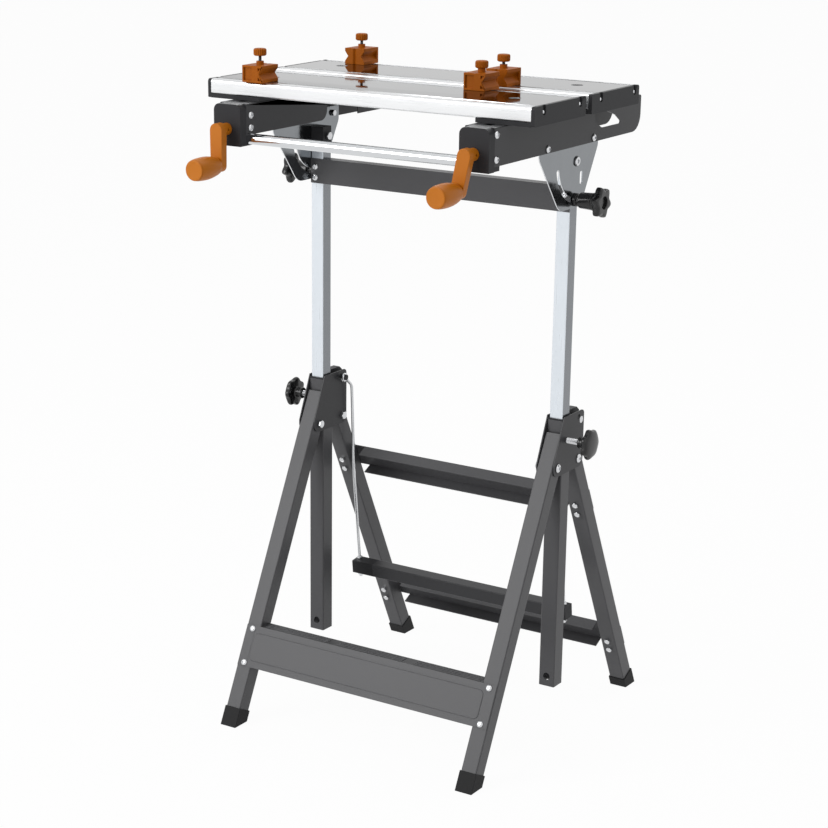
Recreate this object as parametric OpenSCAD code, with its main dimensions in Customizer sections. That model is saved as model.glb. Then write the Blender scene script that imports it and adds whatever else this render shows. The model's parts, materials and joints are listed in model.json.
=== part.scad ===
// Folding workbench with a clamping, tilting and height adjustable top.
// Axes: +X to the right along the jaws, +Y to the back, +Z up, millimetres.
// The floor is z = 0, and the origin is under the middle of the whole bench.
// Inner values called y are measured from the axis of the upright tubes.

/* [Stand] */
// Distance from each end of the jaw profiles to the axis of the upright below it
side_in = 59.5; // [45:0.5:75]
// Width and depth of the square centre tubes
tube_w = 30; // [30:0.5:34]
// Width and depth of the square leg tubes
leg_w = 29.4; // [27:0.1:29.4]
// Wall of the leg tubes and centre tubes
tube_wall = 1.4; // [1:0.1:1.6]
// Length of a leg from its pivot to the floor
leg_l = 560; // [520:1:620]
// Lean of each leg from upright
leg_lean = 26; // [22:0.5:30]
// Length of a front leg above its pivot
front_leg_up = 56; // [40:1:64]
// Length of a rear leg above its pivot
rear_leg_up = 28; // [18:1:32]
// Distance of the front leg pivot in front of the tube axis
front_pivot = 31; // [30:0.5:38]
// Distance of the rear leg pivot behind the tube axis
rear_pivot = 42; // [38:0.5:50]
// Length of the centre tube below the leg pivots
tube_down = 406; // [380:1:430]
// Length of the centre tube above the leg pivots
tube_up = 78; // [70:1:90]
// Thickness of the hub side plates
plate_t = 2; // [1.5:0.1:3]
// Radius of the leg pivot bolts
pivot_r = 4; // [3:0.25:5]
// Diameter of the hole near the foot of each centre tube, which clears a nut of the folded leg
tube_hole_d = 13; // [12.5:0.5:16]

/* [Feet and bars] */
// Wall of the rubber foot caps
foot_wall = 1.6; // [1:0.1:3]
// Length of a foot cap along the leg axis
foot_l = 28; // [20:1:40]
// Thickness of the sole of a foot cap
sole_t = 4; // [2:0.5:8]
// Sheet thickness of the step panel and the bars
sheet_t = 1.8; // [1.2:0.1:2.5]
// Height of the step panel along the leg
panel_h = 75; // [74:1:100]
// Distance from the foot of the leg to the middle of the step panel, along the leg
panel_up = 141; // [135:1:170]
// Depth of the flanges of the step panel
panel_flange = 28; // [15:1:30]
// Distance between the two bolts at each end of the step panel
panel_bolt_gap = 62; // [40:1:62]
// Height of the two rear bars along the leg
bar_h = 44; // [36:1:60]
// Depth of the flanges of the rear bars and of the upper crossbar
bar_flange = 22; // [12:1:24]
// Distance from the leg pivot to the middle of the upper rear bar
bar_upper_s = 108; // [90:1:130]
// Distance from the foot of the leg to the middle of the lower rear bar, along the leg
bar_lower_up = 116; // [100:1:160]
// Distance between the two bolts at each end of a rear bar
bar_bolt_gap = 21; // [16:1:24]

/* [Release bail] */
// Width and depth of the square release bar
rel_w = 25; // [20:0.5:28]
// Height of the middle of the release bar above the floor
rel_z = 199; // [185:1:230]
// Distance of the release bar behind the tube axis
rel_y = 92; // [84:1:100]
// Length of the plastic sleeve on each end of the release bar
rel_sleeve_l = 45; // [30:1:60]
// Diameter of the release rods
rod_d = 5.5; // [4:0.5:7]

/* [Upper frame] */
// Width and depth of the square inner posts
post_w = 25; // [22:0.5:26]
// Wall of the inner posts
post_wall = 1.2; // [1:0.1:2]
// Height of the tilt axis above the top of the centre tubes
post_out = 437; // [400:1:450]
// Length of the inner posts inside the centre tubes at full height
post_in = 158; // [150:1:165]
// Height of the upper crossbar
cross_h = 43; // [36:1:50]
// Distance of the tilt knob axis below the tilt axis
knob_drop = 63; // [58:0.5:66]

/* [Arms] */
// Height of the arms
arm_h = 60; // [54:1:70]
// Sheet thickness of the arms
arm_t = 1.8; // [1.2:0.1:2.2]
// Width of the arms along the jaws
arm_w = 53.6; // [50:0.1:60]
// Length of the arms in front of the tilt axis
arm_front_l = 270; // [255:1:290]
// Length of the arms behind the tilt axis
arm_rear_l = 222; // [200:1:240]
// Height of the arm's lower edge above the tilt axis
arm_lift = 25; // [22:0.5:32]
// Length of the hand hole in the arms
hand_l = 100; // [86:1:108]
// Height of the hand hole in the arms
hand_h = 29.5; // [25:0.5:32]
// Depth of the housing in front of an arm
housing_d = 17; // [12:1:24]
// Diameter of the tie tube between the housings
tie_d = 18; // [14:0.5:20]

/* [Tilt plates] */
// Thickness of the tilt plates
tilt_t = 2; // [1.5:0.1:2.5]
// Depth of a tilt plate at its top, from front to back
tilt_w = 199; // [180:1:205]
// Height of a tilt plate
tilt_h = 120; // [116:1:124]
// Width of the curved slot
slot_w = 8.6; // [8.4:0.1:10]
// Largest tilt of the table, in degrees
tilt_max = 80; // [40:1:82]

/* [Jaws] */
// Length of the aluminium jaw profiles
jaw_l = 609; // [580:1:640]
// Depth of one jaw from front to back
jaw_w = 165; // [155:1:175]
// Thickness of the jaw profile
jaw_t = 24; // [22:0.5:28]
// Wall of the jaw profile
jaw_wall = 2.4; // [2:0.1:3]
// Gap between the jaws as shown
jaw_gap = 20; // [12:0.5:30]
// Distance of the rear jaw's front edge in front of the tilt axis
rear_jaw_front = 52; // [44:1:60]
// Thickness of the end plates
end_t = 6.5; // [5:0.5:9]
// Thickness of the carriage plate under each jaw end
under_t = 7; // [6:0.5:9]
// Length of the carriage plate under each jaw end
under_l = 98; // [90:1:110]
// Diameter of the dog holes in the jaws
dog_hole_d = 20; // [16:0.5:22]
// Distance of the dog holes from the ends of the jaw profiles
dog_hole_end = 72.5; // [45:0.5:90]
// Distance of the front dog holes from the front edge of the bench top
dog_hole_front = 77; // [50:1:100]
// Distance of the rear dog holes from the rear edge of the bench top
dog_hole_rear = 68; // [50:1:100]
// Distance of the outer T slots from the outer edges of the jaws
slot_outer = 16; // [14:0.5:20]
// Distance of the inner T slots from the inner edges of the jaws
slot_in = 25; // [20:0.5:30]

/* [Dogs] */
// Length of a clamping dog along the jaw
dog_l = 40; // [36:1:50]
// Depth of a clamping dog
dog_w = 46; // [40:1:50]
// Height of a clamping dog
dog_h = 27.5; // [25:0.5:32]
// Diameter of a dog's knob
dog_knob_d = 21.5; // [18:0.5:26]
// Height of a dog's knob
dog_knob_h = 12; // [10:0.5:18]

/* [Cranks] */
// Distance from the screw axis to the grip axis
crank_r = 57; // [50:1:62]
// Largest diameter of the grip
grip_d = 38; // [32:1:40]
// Length of the grip
grip_l = 60; // [50:1:70]
// Diameter of the lead screws
screw_d = 12; // [10:0.5:14]
// Turn of the right crank from hanging straight down, in degrees
crank_right_turn = 12; // [0:1:30]

/* [Knobs] */
// Diameter of the star knobs over their lobes
star_d = 54; // [46:1:60]
// Diameter of the studs of the tilt knobs
stud_d = 8; // [6:0.5:8]
// Diameter of the studs of the height knobs
height_stud_d = 10; // [8:0.5:12]

/* [Hidden] */
$fn = 48;

// Clearances and overruns
run_gap = 0.3;
fit_gap = 0.1;
mitre_gap = 0.8;
cut = 2;
corner_steps = 6;
long_share = 1.1;

// Fasteners
bolt_r = 3;
head_r = 6;
head_h = 3.6;
head_shares = [0.45, 0.6];
nut_r = 5.75;
nut_h = 5;
pivot_nut_r = 7.5;
pivot_nut_h = 6.5;
stud_r = stud_d / 2;
height_stud_r = height_stud_d / 2;

// Lengths that follow the legs and the jaws
side_x = jaw_l / 2 - side_in;
panel_s = leg_l - panel_up;
bar_lower_s = leg_l - bar_lower_up;
slot_inner = jaw_w - slot_in;
dog_hole_x = jaw_l / 2 - dog_hole_end;

// Heights
height_knob_share = 0.54;
screw_share = 0.33;
pivot_z = leg_l * cos(leg_lean);
tube_z0 = pivot_z - tube_down;
tube_z1 = pivot_z + tube_up;
tilt_z = tube_z1 + post_out;
arm_z0 = tilt_z + arm_lift;
arm_z1 = arm_z0 + arm_h;
jaw_z0 = arm_z1 + run_gap + under_t;
jaw_z1 = jaw_z0 + jaw_t;
knob_z = tilt_z - knob_drop;
height_knob_z = pivot_z + tube_up * height_knob_share;
screw_z = arm_z0 + arm_h * screw_share;

// Places across the bench, right side
tube_x0 = side_x - tube_w / 2;
tube_x1 = side_x + tube_w / 2;
post_x0 = side_x - post_w / 2;
post_x1 = side_x + post_w / 2;
tilt_x0 = post_x1 + run_gap;
tilt_x1 = tilt_x0 + tilt_t;
arm_x1 = tilt_x1 + arm_t;
arm_x0 = arm_x1 - arm_w;
screw_x = (arm_x0 + arm_x1) / 2;
plate_x0 = tube_x0 - plate_t;
plate_x1 = tube_x1 + plate_t;

// Cranks
hub_l = 17;
hub_r1 = 10;
crank_t = 14;
crank_w = 24;
crank_low_w = 22;
pin_r = 5;
grip_cap = 5;
crank_round_share = 0.95;
grip_shares = [[0.8, 0], [0.9, 0.04], [0.97, 0.2], [1, 0.42], [0.96, 0.64], [0.84, 0.86], [0.7, 1]];
screw_end = 100;

// Places from front to back
front_jaw_y0 = -rear_jaw_front - jaw_gap - jaw_w;
rear_jaw_y1 = -rear_jaw_front + jaw_w;
housing_y = -arm_front_l - housing_d;
crank_y1 = housing_y - run_gap;
crank_y0 = housing_y - hub_l - crank_t;
grip_y0 = crank_y0 - grip_l;
foot_back = rear_pivot + leg_l * sin(leg_lean) + (tube_w / 2 + foot_wall) / cos(leg_lean);
y_shift = -(grip_y0 + foot_back) / 2;

// Hub plates and guides
hub_r = 15;
hub_front = 13;
hub_lip = 7;
hub_small_r = 8;
hub_neck = 6;
edge_share = 1.5;
tube_hole_z = pivot_z - panel_s + panel_bolt_gap / 2;
guide_l = 60;
rim_h = 3;

// Release latch: pin, nose, body and the slot of its rod pin
latch_y = 46;
latch_drop = 9.5;
latch_z = tube_z1 - latch_drop;
latch_pin_r = 3;
latch_low = 6;
latch_back = 12;
latch_front = 26;
latch_nose_h = 7;
latch_w = 13;
latch_sleeve_r = 6;
latch_sleeve_w = tube_w - 2 * run_gap;
eye_ahead = 8.5;
eye_up = 5;
eye_r = 2.5;
eye_slot = 3;
eye_play = 1;

// Release rods: the knees are given as shares of the way from the latch pin to the release bar
rod_r = rod_d / 2;
rod_x = plate_x0 - pivot_nut_h - rod_r - 2 * fit_gap;
rel_x = tube_x0 - cut;
eye = [latch_y - eye_ahead, latch_z + eye_up];
eye_half = rod_r * 0.7;
rod_bend_r = 3 * rod_d;
bend_steps = 3;
knee_shares = [[0.304, 0.04], [0.522, 0.52]];
bar_mid = [rel_y, rel_z];
bar_reach = bar_mid - [latch_y, latch_z];
knee_high = [latch_y + bar_reach[0] * knee_shares[0][0], latch_z + bar_reach[1] * knee_shares[0][1]];
knee_low = [latch_y + bar_reach[0] * knee_shares[1][0], latch_z + bar_reach[1] * knee_shares[1][1]];
rel_lean = atan2(bar_mid[0] - knee_low[0], knee_low[1] - bar_mid[1]);
acorn_share = 0.9;

// Step panel and rear bars
end_inset = 1.5;
panel_emboss = 1;
panel_emboss_in = 8;
emboss_share = 0.66;
rib_pairs = 2;
rib_shares = [0.15, 0.56, 0.66];
rib_pitch = panel_flange * rib_shares[0];
rib_l = (tube_x0 - panel_emboss_in) * rib_shares[1];
rib_group = (tube_x0 - panel_emboss_in) * rib_shares[2];
rod_room = 8;

// Posts, pivot blocks and upper crossbar
post_z0 = tube_z1 - post_in;
cap_below = 19;
cap_above = 16;
cap_tenon = 20;
post_z1 = tilt_z - cap_below;
cross_up = 2;
cross_z = knob_z + cross_up;
cross_bolt_gap = 19;
cross_bolt_out = 3;
cross_bolt_x = side_x + cross_bolt_out;

// Arms
inner_lift = 9;
arm_gap_front = 36;
arm_gap_back = 60;
inner_end_r = 18;
corner_r = 28;
web_slot_w = 13;
slot_back = 112;
hand_y = 104;
hand_share = 0.58;
hand_shares = [[0, 1], [0.02, 0.42], [0.28, 0], [1, 0], [0.75, 0.54], [0.4, 0.92]];
hand_round_shares = [0.25, 0.3, 0.4, 0.1, 0.6, 0.8];
hand_z = arm_z0 + arm_h * hand_share;

// Housings, their screws and the tie tube
housing_r = 11;
housing_low = 8;
plug_l = 19;
tie_in = 7;
tie_up = 3;
tie_deep = 14;
tie_wall = 1.2;
tie_y = -arm_front_l + tie_in;
tie_z = arm_z0 + tie_up;
arm_screw_l = 12;
arm_screw_in = 5;
inner_screw_in = 12;
arm_screw_y = -arm_front_l + arm_screw_in;
inner_screw_y = -arm_front_l + inner_screw_in;
arm_screw_shares = [0.18, 0.81];
inner_screw_shares = [0.34, 0.68];
arm_screw_zs = [for (s = arm_screw_shares) arm_z0 + arm_h * s];
inner_screw_zs = [for (s = inner_screw_shares) arm_z0 + arm_h * s];

// Tilt plates, relative to the tilt axis
tilt_top = 44;
tilt_wing = 18;
tilt_back = 73;
tilt_low_shares = [0.27, 0.1];
tilt_bolt_shares = [0.51, 0.27];
tilt_bolt_up = 7;
tilt_bolt_z = arm_z0 + tilt_bolt_up;
tilt_bolt_ys = [-tilt_w * tilt_bolt_shares[0], tilt_w * tilt_bolt_shares[1]];
slot_steps = 20;
small_slot_y = 18;
small_slot_z = 40;
small_slot_l = 22;
small_round_share = 0.49;

// Jaw profile, y from its outer edge, z from its underside
t_open = 8;
t_lip = 2.6;
t_cave_w = 14.4;
t_cave_h = 5.4;
jaw_edge_r = 5;
cell_shares = [[0.21, 0.3], [0.33, 0.53], [0.56, 0.76]];
end_screw_outer = [30, 16];
end_screw_inner = [18, 32];
end_screws_front = [end_screw_outer[0], jaw_w - end_screw_inner[0]];
end_screws_rear = [end_screw_outer[1], jaw_w - end_screw_inner[1]];
front_hole_y = front_jaw_y0 + dog_hole_front;
rear_hole_y = rear_jaw_y1 - dog_hole_rear;
end_screw_down = 10.5;
end_screw_l = 14;
end_screw_r = 2.1;
end_recess_r = 4.8;
end_recess_d = 3.5;

// Nuts that carry the front jaw along the lead screws
jaw_nut_share = 0.582;
jaw_nut_y = front_jaw_y0 + jaw_w * jaw_nut_share;
jaw_nut_l = 24;
jaw_nut_w = 26;
jaw_neck_l = 14;

// Clamping dogs: distance of each one from the nearer jaw end, its side, and how far its knob is unscrewed
dog_in = [89.5, 79, 170.5, 170.5];
dog_side = [-1, -1, 1, 1];
knob_unscrewed = 8;
lift_shares = [1, 0.75, 0, 0.5];
dog_x = [for (i = [0 : len(dog_in) - 1]) dog_side[i] * (jaw_l / 2 - dog_in[i])];
dog_y = [front_jaw_y0 + slot_outer, rear_jaw_y1 - slot_outer,
    front_jaw_y0 + slot_inner, rear_jaw_y1 - slot_inner];
knob_lift = knob_unscrewed * lift_shares;
dog_seat = 0.15;
v_deep = 6.5;
v_open = 17;
groove = 2.4;
dog_boss_r = 6.3;
dog_boss_h = 6;
dog_key_h = 2.4;
dog_key_l = 20;
dog_stud_r = 3;
back_x = [-17, -1];
back_low = 3.5;
back_deep = 3;
corner_x = [11.5, 18.5];
corner_h = 5.6;
back_wall = 5;
dog_flutes = 24;
flute_share = 0.09;

// Star knobs
tilt_lobes = 6;
tilt_turn = -13;
height_lobes = 7;
star_steps = 10;
star_dish = 4;
star_t = 13;
cap_t = [3, 3];
cap_shares = [0.97, 0.7];
dish_share = 0.85;
neck_share = 0.86;
washer_r = 11;
tilt_washer = 5;
tilt_gap = 7;
tilt_neck = 29;
tilt_neck_r = 14.5;
tilt_dish_share = 0.72;
tilt_lobe = 7;
height_gap = 22.7;
height_neck = 14;
height_neck_r = 10;
height_lobe = 4;

// Common shapes
module place() {
    translate([0, y_shift, 0]) children();
}

module both_sides() {
    children();
    mirror([1, 0, 0]) children();
}

module block(lo, hi) {
    translate(lo) cube(hi - lo);
}

module xrod(x0, x1, y, z, r) {
    translate([x0, y, z]) rotate([0, 90, 0]) cylinder(h = x1 - x0, r = r);
}

module yrod(x, y0, y1, z, r) {
    translate([x, y1, z]) rotate([90, 0, 0]) cylinder(h = y1 - y0, r = r);
}

module zrod(x, y, z0, z1, r) {
    translate([x, y, z0]) cylinder(h = z1 - z0, r = r);
}

// Extrudes an outline given in the YZ plane from x0 to x1
module yz_slab(x0, x1) {
    translate([x0, 0, 0]) rotate([90, 0, 90]) linear_extrude(x1 - x0) children();
}

// Extrudes an outline given in the XZ plane from y0 to y1
module xz_slab(y0, y1) {
    translate([0, y1, 0]) rotate([90, 0, 0]) linear_extrude(y1 - y0) children();
}

function unit(v) = v / norm(v);
function turn(a) = a > 180 ? a - 360 : (a < -180 ? a + 360 : a);

// Points of an arc of radius r that rounds the corner p between a and b
function corner(p, a, b, r) =
    let (
        u = unit(a - p),
        v = unit(b - p),
        half = acos(u * v) / 2,
        c = p + unit(u + v) * r / sin(half),
        s = p + u * r / tan(half) - c,
        e = p + v * r / tan(half) - c,
        a0 = atan2(s[1], s[0]),
        sweep = turn(atan2(e[1], e[0]) - a0)
    )
    [for (i = [0 : corner_steps])
        c + r * [cos(a0 + sweep * i / corner_steps), sin(a0 + sweep * i / corner_steps)]];

// Outline with every corner rounded by its own radius, zero leaves it sharp
function rounded(pts, radii) =
    let (n = len(pts))
    [for (i = [0 : n - 1])
        each (radii[i] == 0 ? [pts[i]]
            : corner(pts[i], pts[(i + n - 1) % n], pts[(i + 1) % n], radii[i]))];

function box_points(lo, hi) = [lo, [hi[0], lo[1]], hi, [lo[0], hi[1]]];

module rounded_box(lo, hi, r) {
    polygon(rounded(box_points(lo, hi), [r, r, r, r]));
}

// Domed head from x = 0 outward, in two steps
module x_head(r, h) {
    rotate([0, 90, 0]) {
        cylinder(h = h * head_shares[0], r = r);
        translate([0, 0, h * head_shares[0]])
            cylinder(h = h * (1 - head_shares[0]), r1 = r, r2 = r * head_shares[1]);
    }
}

// Hexagon nut from x = 0 to x = h round a shank of the given radius
module x_nut(r, h, bore) {
    difference() {
        rotate([0, 90, 0]) cylinder(h = h, r = r, $fn = 6);
        xrod(-cut, h + cut, 0, 0, bore);
    }
}

// Domed bolt from x = 0 inward, with a nut behind the sheets when grip is given
module x_bolt(shank, grip) {
    x_head(head_r, head_h);
    xrod(-shank, 0, 0, 0, bolt_r);
    if (grip > 0)
        translate([-grip - nut_h, 0, 0]) x_nut(nut_r, nut_h, bolt_r);
}

// Square tube along Z with its axis at the origin
module square_tube(w, wall, z0, z1) {
    translate([0, 0, z0]) difference() {
        linear_extrude(z1 - z0) rounded_box([-w / 2, -w / 2], [w / 2, w / 2], wall * edge_share);
        translate([0, 0, -cut]) linear_extrude(z1 - z0 + 2 * cut)
            square(w - 2 * wall, center = true);
    }
}

// Stand: centre tubes, hub plates and what holds them
module centre_tubes() {
    color("dimgray") place() both_sides() difference() {
        translate([side_x, 0, 0]) square_tube(tube_w, tube_wall, tube_z0, tube_z1);
        yrod(side_x, -tube_w, 0, tube_hole_z, tube_hole_d / 2);
        xrod(side_x, tube_x1 + cut, 0, height_knob_z, height_stud_r + run_gap);
    }
}

function hub_outline() =
    let (
        f = -front_pivot - hub_r,
        b = rear_pivot + hub_r,
        t = tube_up + hub_lip
    )
    rounded([[f, -hub_r], [b, -hub_r], [b, t], [-hub_front, t], [f, hub_neck]],
        [hub_r * crank_round_share, hub_r * crank_round_share, hub_small_r, 0, hub_small_r]);

module hub_plate(x0, stud) {
    x1 = x0 + plate_t;
    difference() {
        translate([0, 0, pivot_z]) yz_slab(x0, x1) polygon(hub_outline());
        for (y = [-front_pivot, rear_pivot])
            xrod(x0 - cut, x1 + cut, y, pivot_z, pivot_r);
        xrod(x0 - cut, x1 + cut, latch_y, latch_z, latch_pin_r);
        yz_slab(x0 - cut, x1 + cut) translate(eye)
            rounded_box([-eye_r - run_gap, -eye_r - run_gap],
                [eye_r + run_gap + eye_play, eye_r + run_gap + eye_slot], eye_r);
        if (stud)
            xrod(x0 - cut, x1 + cut, 0, height_knob_z, height_stud_r + run_gap);
    }
}

module hub_plates() {
    color("dimgray") place() both_sides() {
        hub_plate(tube_x1, true);
        hub_plate(plate_x0, false);
    }
}

// Pivot bolts with their nuts on the inner plates
module pivot_bolts() {
    x1 = plate_x1;
    x0 = plate_x0;
    color("silver") place() both_sides() for (y = [-front_pivot, rear_pivot]) translate([0, y, pivot_z]) {
        xrod(x0 - pivot_nut_h, x1, 0, 0, pivot_r);
        translate([x1, 0, 0]) x_head(head_r + bolt_r / 2, head_h);
        translate([x0 - pivot_nut_h, 0, 0]) x_nut(pivot_nut_r, pivot_nut_h, pivot_r);
    }
}

// Plastic guides inside the top of the centre tubes, with a rim on top
module post_guides() {
    outer = tube_w - 2 * tube_wall;
    inner = post_w + 2 * fit_gap;
    color("black") place() both_sides() difference() {
        translate([side_x, 0, tube_z1 - guide_l]) union() {
            linear_extrude(guide_l) square(outer, center = true);
            translate([0, 0, guide_l]) linear_extrude(rim_h) square(tube_w, center = true);
        }
        translate([side_x, 0, tube_z1 - guide_l - cut]) linear_extrude(guide_l + rim_h + 2 * cut)
            square(inner, center = true);
        xrod(side_x, tube_x1, 0, height_knob_z, height_stud_r + run_gap);
    }
}

// Pins that the release latches swing on
module latch_pins() {
    x0 = plate_x0;
    x1 = plate_x1;
    color("silver") place() both_sides() translate([0, latch_y, latch_z]) {
        xrod(x0 - plate_t, x1, 0, 0, latch_pin_r);
        translate([x1, 0, 0]) x_head(latch_pin_r * 2, head_h / 2);
        mirror([1, 0, 0]) translate([-x0, 0, 0]) x_head(latch_pin_r * 2, head_h / 2);
    }
}

// Legs, in a frame with the pivot at the origin and the leg along Z
module lean_front() {
    translate([0, -front_pivot, pivot_z]) rotate([-leg_lean, 0, 0]) children();
}

module lean_rear() {
    translate([0, rear_pivot, pivot_z]) rotate([leg_lean, 0, 0]) children();
}

module half_space(y0, y1, z0, z1) {
    block([0, y0, z0], [2 * side_x, y1, z1]);
}

module leg_tube(up) {
    translate([side_x, 0, 0])
        square_tube(leg_w, tube_wall, -leg_l * long_share, up);
}

module front_legs() {
    color("dimgray") place() both_sides() difference() {
        intersection() {
            lean_front() leg_tube(front_leg_up);
            half_space(-leg_l, -tube_w / 2 - mitre_gap, sole_t, tube_z1);
        }
        xrod(0, 2 * side_x, -front_pivot, pivot_z, pivot_r + fit_gap);
        lean_front() for (s = [-1, 1])
            yrod(side_x, -tube_w, tube_w, -panel_s + s * panel_bolt_gap / 2, bolt_r);
    }
}

module rear_legs() {
    color("dimgray") place() both_sides() difference() {
        intersection() {
            lean_rear() leg_tube(rear_leg_up);
            half_space(tube_w / 2 + mitre_gap, leg_l, sole_t, tube_z1);
        }
        xrod(0, 2 * side_x, rear_pivot, pivot_z, pivot_r + fit_gap);
        lean_rear() for (m = [bar_upper_s, bar_lower_s], s = [-1, 1])
            yrod(side_x, -tube_w, tube_w, -m + s * bar_bolt_gap / 2, bolt_r);
    }
}

// Rubber caps, flat on the floor and square to the leg at the top
module foot_cap(up, w) {
    translate([side_x, 0, -leg_l * long_share]) linear_extrude(leg_l * long_share - leg_l + up)
        square(2 * w, center = true);
}

module front_feet() {
    color("black") place() both_sides() difference() {
        intersection() {
            lean_front() foot_cap(foot_l, leg_w / 2 + foot_wall);
            half_space(-leg_l, leg_l, 0, leg_l);
        }
        intersection() {
            lean_front() foot_cap(foot_l + cut, leg_w / 2);
            half_space(-leg_l, leg_l, sole_t, leg_l);
        }
    }
}

module rear_feet() {
    color("black") place() both_sides() difference() {
        intersection() {
            lean_rear() foot_cap(foot_l, leg_w / 2 + foot_wall);
            half_space(-leg_l, leg_l, 0, leg_l);
        }
        intersection() {
            lean_rear() foot_cap(foot_l + cut, leg_w / 2);
            half_space(-leg_l, leg_l, sole_t, leg_l);
        }
    }
}

// Bent sheet bar in the leg's frame: web on the legs, flanges between them
module channel(mid, h, depth, web_y, way, x_in) {
    x_end = tube_x1 - end_inset;
    y_far = web_y - way * sheet_t;
    y_lip = web_y + way * depth;
    block([-x_end, min(web_y, y_far), mid - h / 2], [x_end, max(web_y, y_far), mid + h / 2]);
    for (z = [mid - h / 2, mid + h / 2 - sheet_t])
        block([-x_in, min(y_far, y_lip), z], [x_in, max(y_far, y_lip), z + sheet_t]);
}

module front_step_panel() {
    web_y = -leg_w / 2;
    x_in = tube_x0 - run_gap;
    x_emboss = x_in - panel_emboss_in;
    h = panel_h * emboss_share;
    z_top = -panel_s + panel_h / 2;
    color("dimgray") place() lean_front() difference() {
        union() {
            channel(-panel_s, panel_h, panel_flange, web_y, 1, x_in);
            xz_slab(web_y - sheet_t - panel_emboss, web_y - sheet_t)
                rounded_box([-x_emboss, -panel_s - h / 2], [x_emboss, -panel_s + h / 2], panel_emboss_in);
            for (g = [-1, 0, 1], i = [-rib_pairs : rib_pairs]) {
                y = web_y + panel_flange / 2 + i * rib_pitch;
                block([g * rib_group - rib_l / 2, y - rib_pitch / 2, z_top],
                    [g * rib_group + rib_l / 2, y, z_top + panel_emboss]);
            }
        }
        both_sides() for (s = [-1, 1])
            yrod(side_x, -tube_w, tube_w, -panel_s + s * panel_bolt_gap / 2, bolt_r);
    }
}

module rear_bar(mid) {
    color("dimgray") place() lean_rear() difference() {
        channel(-mid, bar_h, bar_flange, leg_w / 2, -1, rod_x - rod_room);
        both_sides() for (s = [-1, 1])
            yrod(side_x, -tube_w, tube_w, -mid + s * bar_bolt_gap / 2, bolt_r);
    }
}

module rear_upper_bar() {
    rear_bar(bar_upper_s);
}

module rear_lower_bar() {
    rear_bar(bar_lower_s);
}

// Bolt along Y through a leg and a sheet, way is the side of its head
module leg_bolt(z, way) {
    reach = leg_w / 2 + sheet_t;
    translate([side_x, way * reach, z]) rotate([0, 0, way * 90])
        x_bolt(reach + leg_w / 2 + nut_h, reach + leg_w / 2);
}

module front_panel_bolts() {
    color("silver") place() both_sides() lean_front() for (s = [-1, 1])
        leg_bolt(-panel_s + s * panel_bolt_gap / 2, -1);
}

module rear_bar_bolts() {
    color("silver") place() both_sides() lean_rear() for (m = [bar_upper_s, bar_lower_s], s = [-1, 1])
        leg_bolt(-m + s * bar_bolt_gap / 2, 1);
}

// Release latch: a block whose nose holds the post, and a pin for the rod's eye
module release_latches() {
    x0 = side_x - latch_w / 2;
    x1 = side_x - latch_sleeve_w / 2;
    nose_y = post_w / 2 + run_gap;
    nose_z = tube_z1 + rim_h + mitre_gap;
    front_y = latch_y - latch_front;
    back_y = latch_y + latch_back;
    low_z = latch_z - latch_low;
    color("black") place() both_sides() difference() {
        union() {
            yz_slab(x0, x0 + latch_w) polygon([[nose_y, nose_z], [front_y, nose_z], [front_y, low_z],
                [back_y, low_z], [back_y, nose_z], [latch_y + latch_pin_r, nose_z + latch_nose_h],
                [nose_y, nose_z + latch_nose_h]]);
            xrod(x1, x1 + latch_sleeve_w, latch_y, latch_z, latch_sleeve_r);
            xrod(rod_x - eye_half - plate_t, plate_x1 + run_gap, eye[0], eye[1], eye_r);
            xrod(rod_x - eye_half - plate_t, rod_x - eye_half, eye[0], eye[1], eye_r + rod_r);
        }
        xrod(x1 - cut, x1 + latch_sleeve_w + cut, latch_y, latch_z, latch_pin_r + fit_gap);
    }
}

// Points of the bend at k, on the way from a to b
function bend_points(a, k, b) =
    let (ahead = unit(k - a), way = unit(b - k), turn = acos(ahead * way), left = sign(cross(ahead, way)))
    let (begin = k - rod_bend_r * tan(turn / 2) * ahead, side = left * [-ahead[1], ahead[0]])
    [for (i = [0:bend_steps]) let (t = turn * i / bend_steps)
        begin + rod_bend_r * (sin(t) * ahead + (1 - cos(t)) * side)];

// Half space that mitres a rod at k: ahead of the bend's middle plane with way 1, behind it with way -1
module mitre(a, k, b, way) {
    ahead = unit(unit(k - a) + unit(b - k));
    translate([rod_x, k[0], k[1]]) rotate([-atan2(ahead[0], ahead[1]), 0, 0])
        translate([-rod_d, -rod_d, way > 0 ? 0 : -2 * rod_d]) cube(2 * rod_d);
}

// Rod along a path of points, each given as y and z, with mitred turns
module rod_along(path) {
    last = len(path) - 2;
    for (i = [0:last]) {
        ahead = unit(path[i + 1] - path[i]);
        from = path[i] - (i > 0 ? rod_r : 0) * ahead;
        to = path[i + 1] + (i < last ? rod_r : 0) * ahead;
        difference() {
            translate([rod_x, from[0], from[1]]) rotate([-atan2(ahead[0], ahead[1]), 0, 0])
                cylinder(h = norm(to - from), r = rod_r);
            if (i > 0) mitre(path[i - 1], path[i], path[i + 1], -1);
            if (i < last) mitre(path[i], path[i + 1], path[i + 2], 1);
        }
    }
}

module release_rods() {
    tip = bar_mid + (rel_w / 2 + nut_h * (1 + acorn_share)) * unit(bar_mid - knee_low);
    start = eye + (eye_r + rod_r + run_gap) * unit(knee_high - eye);
    color("silver") place() both_sides() union() {
        difference() {
            xrod(rod_x - eye_half, rod_x + eye_half, eye[0], eye[1], eye_r + rod_d);
            xrod(rod_x - rod_d, rod_x + rod_d, eye[0], eye[1], eye_r);
        }
        rod_along(concat([start], bend_points(eye, knee_high, knee_low),
            bend_points(knee_high, knee_low, tip), [tip]));
    }
}

module rel_frame() {
    translate([0, bar_mid[0], bar_mid[1]]) rotate([rel_lean, 0, 0]) children();
}

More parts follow.
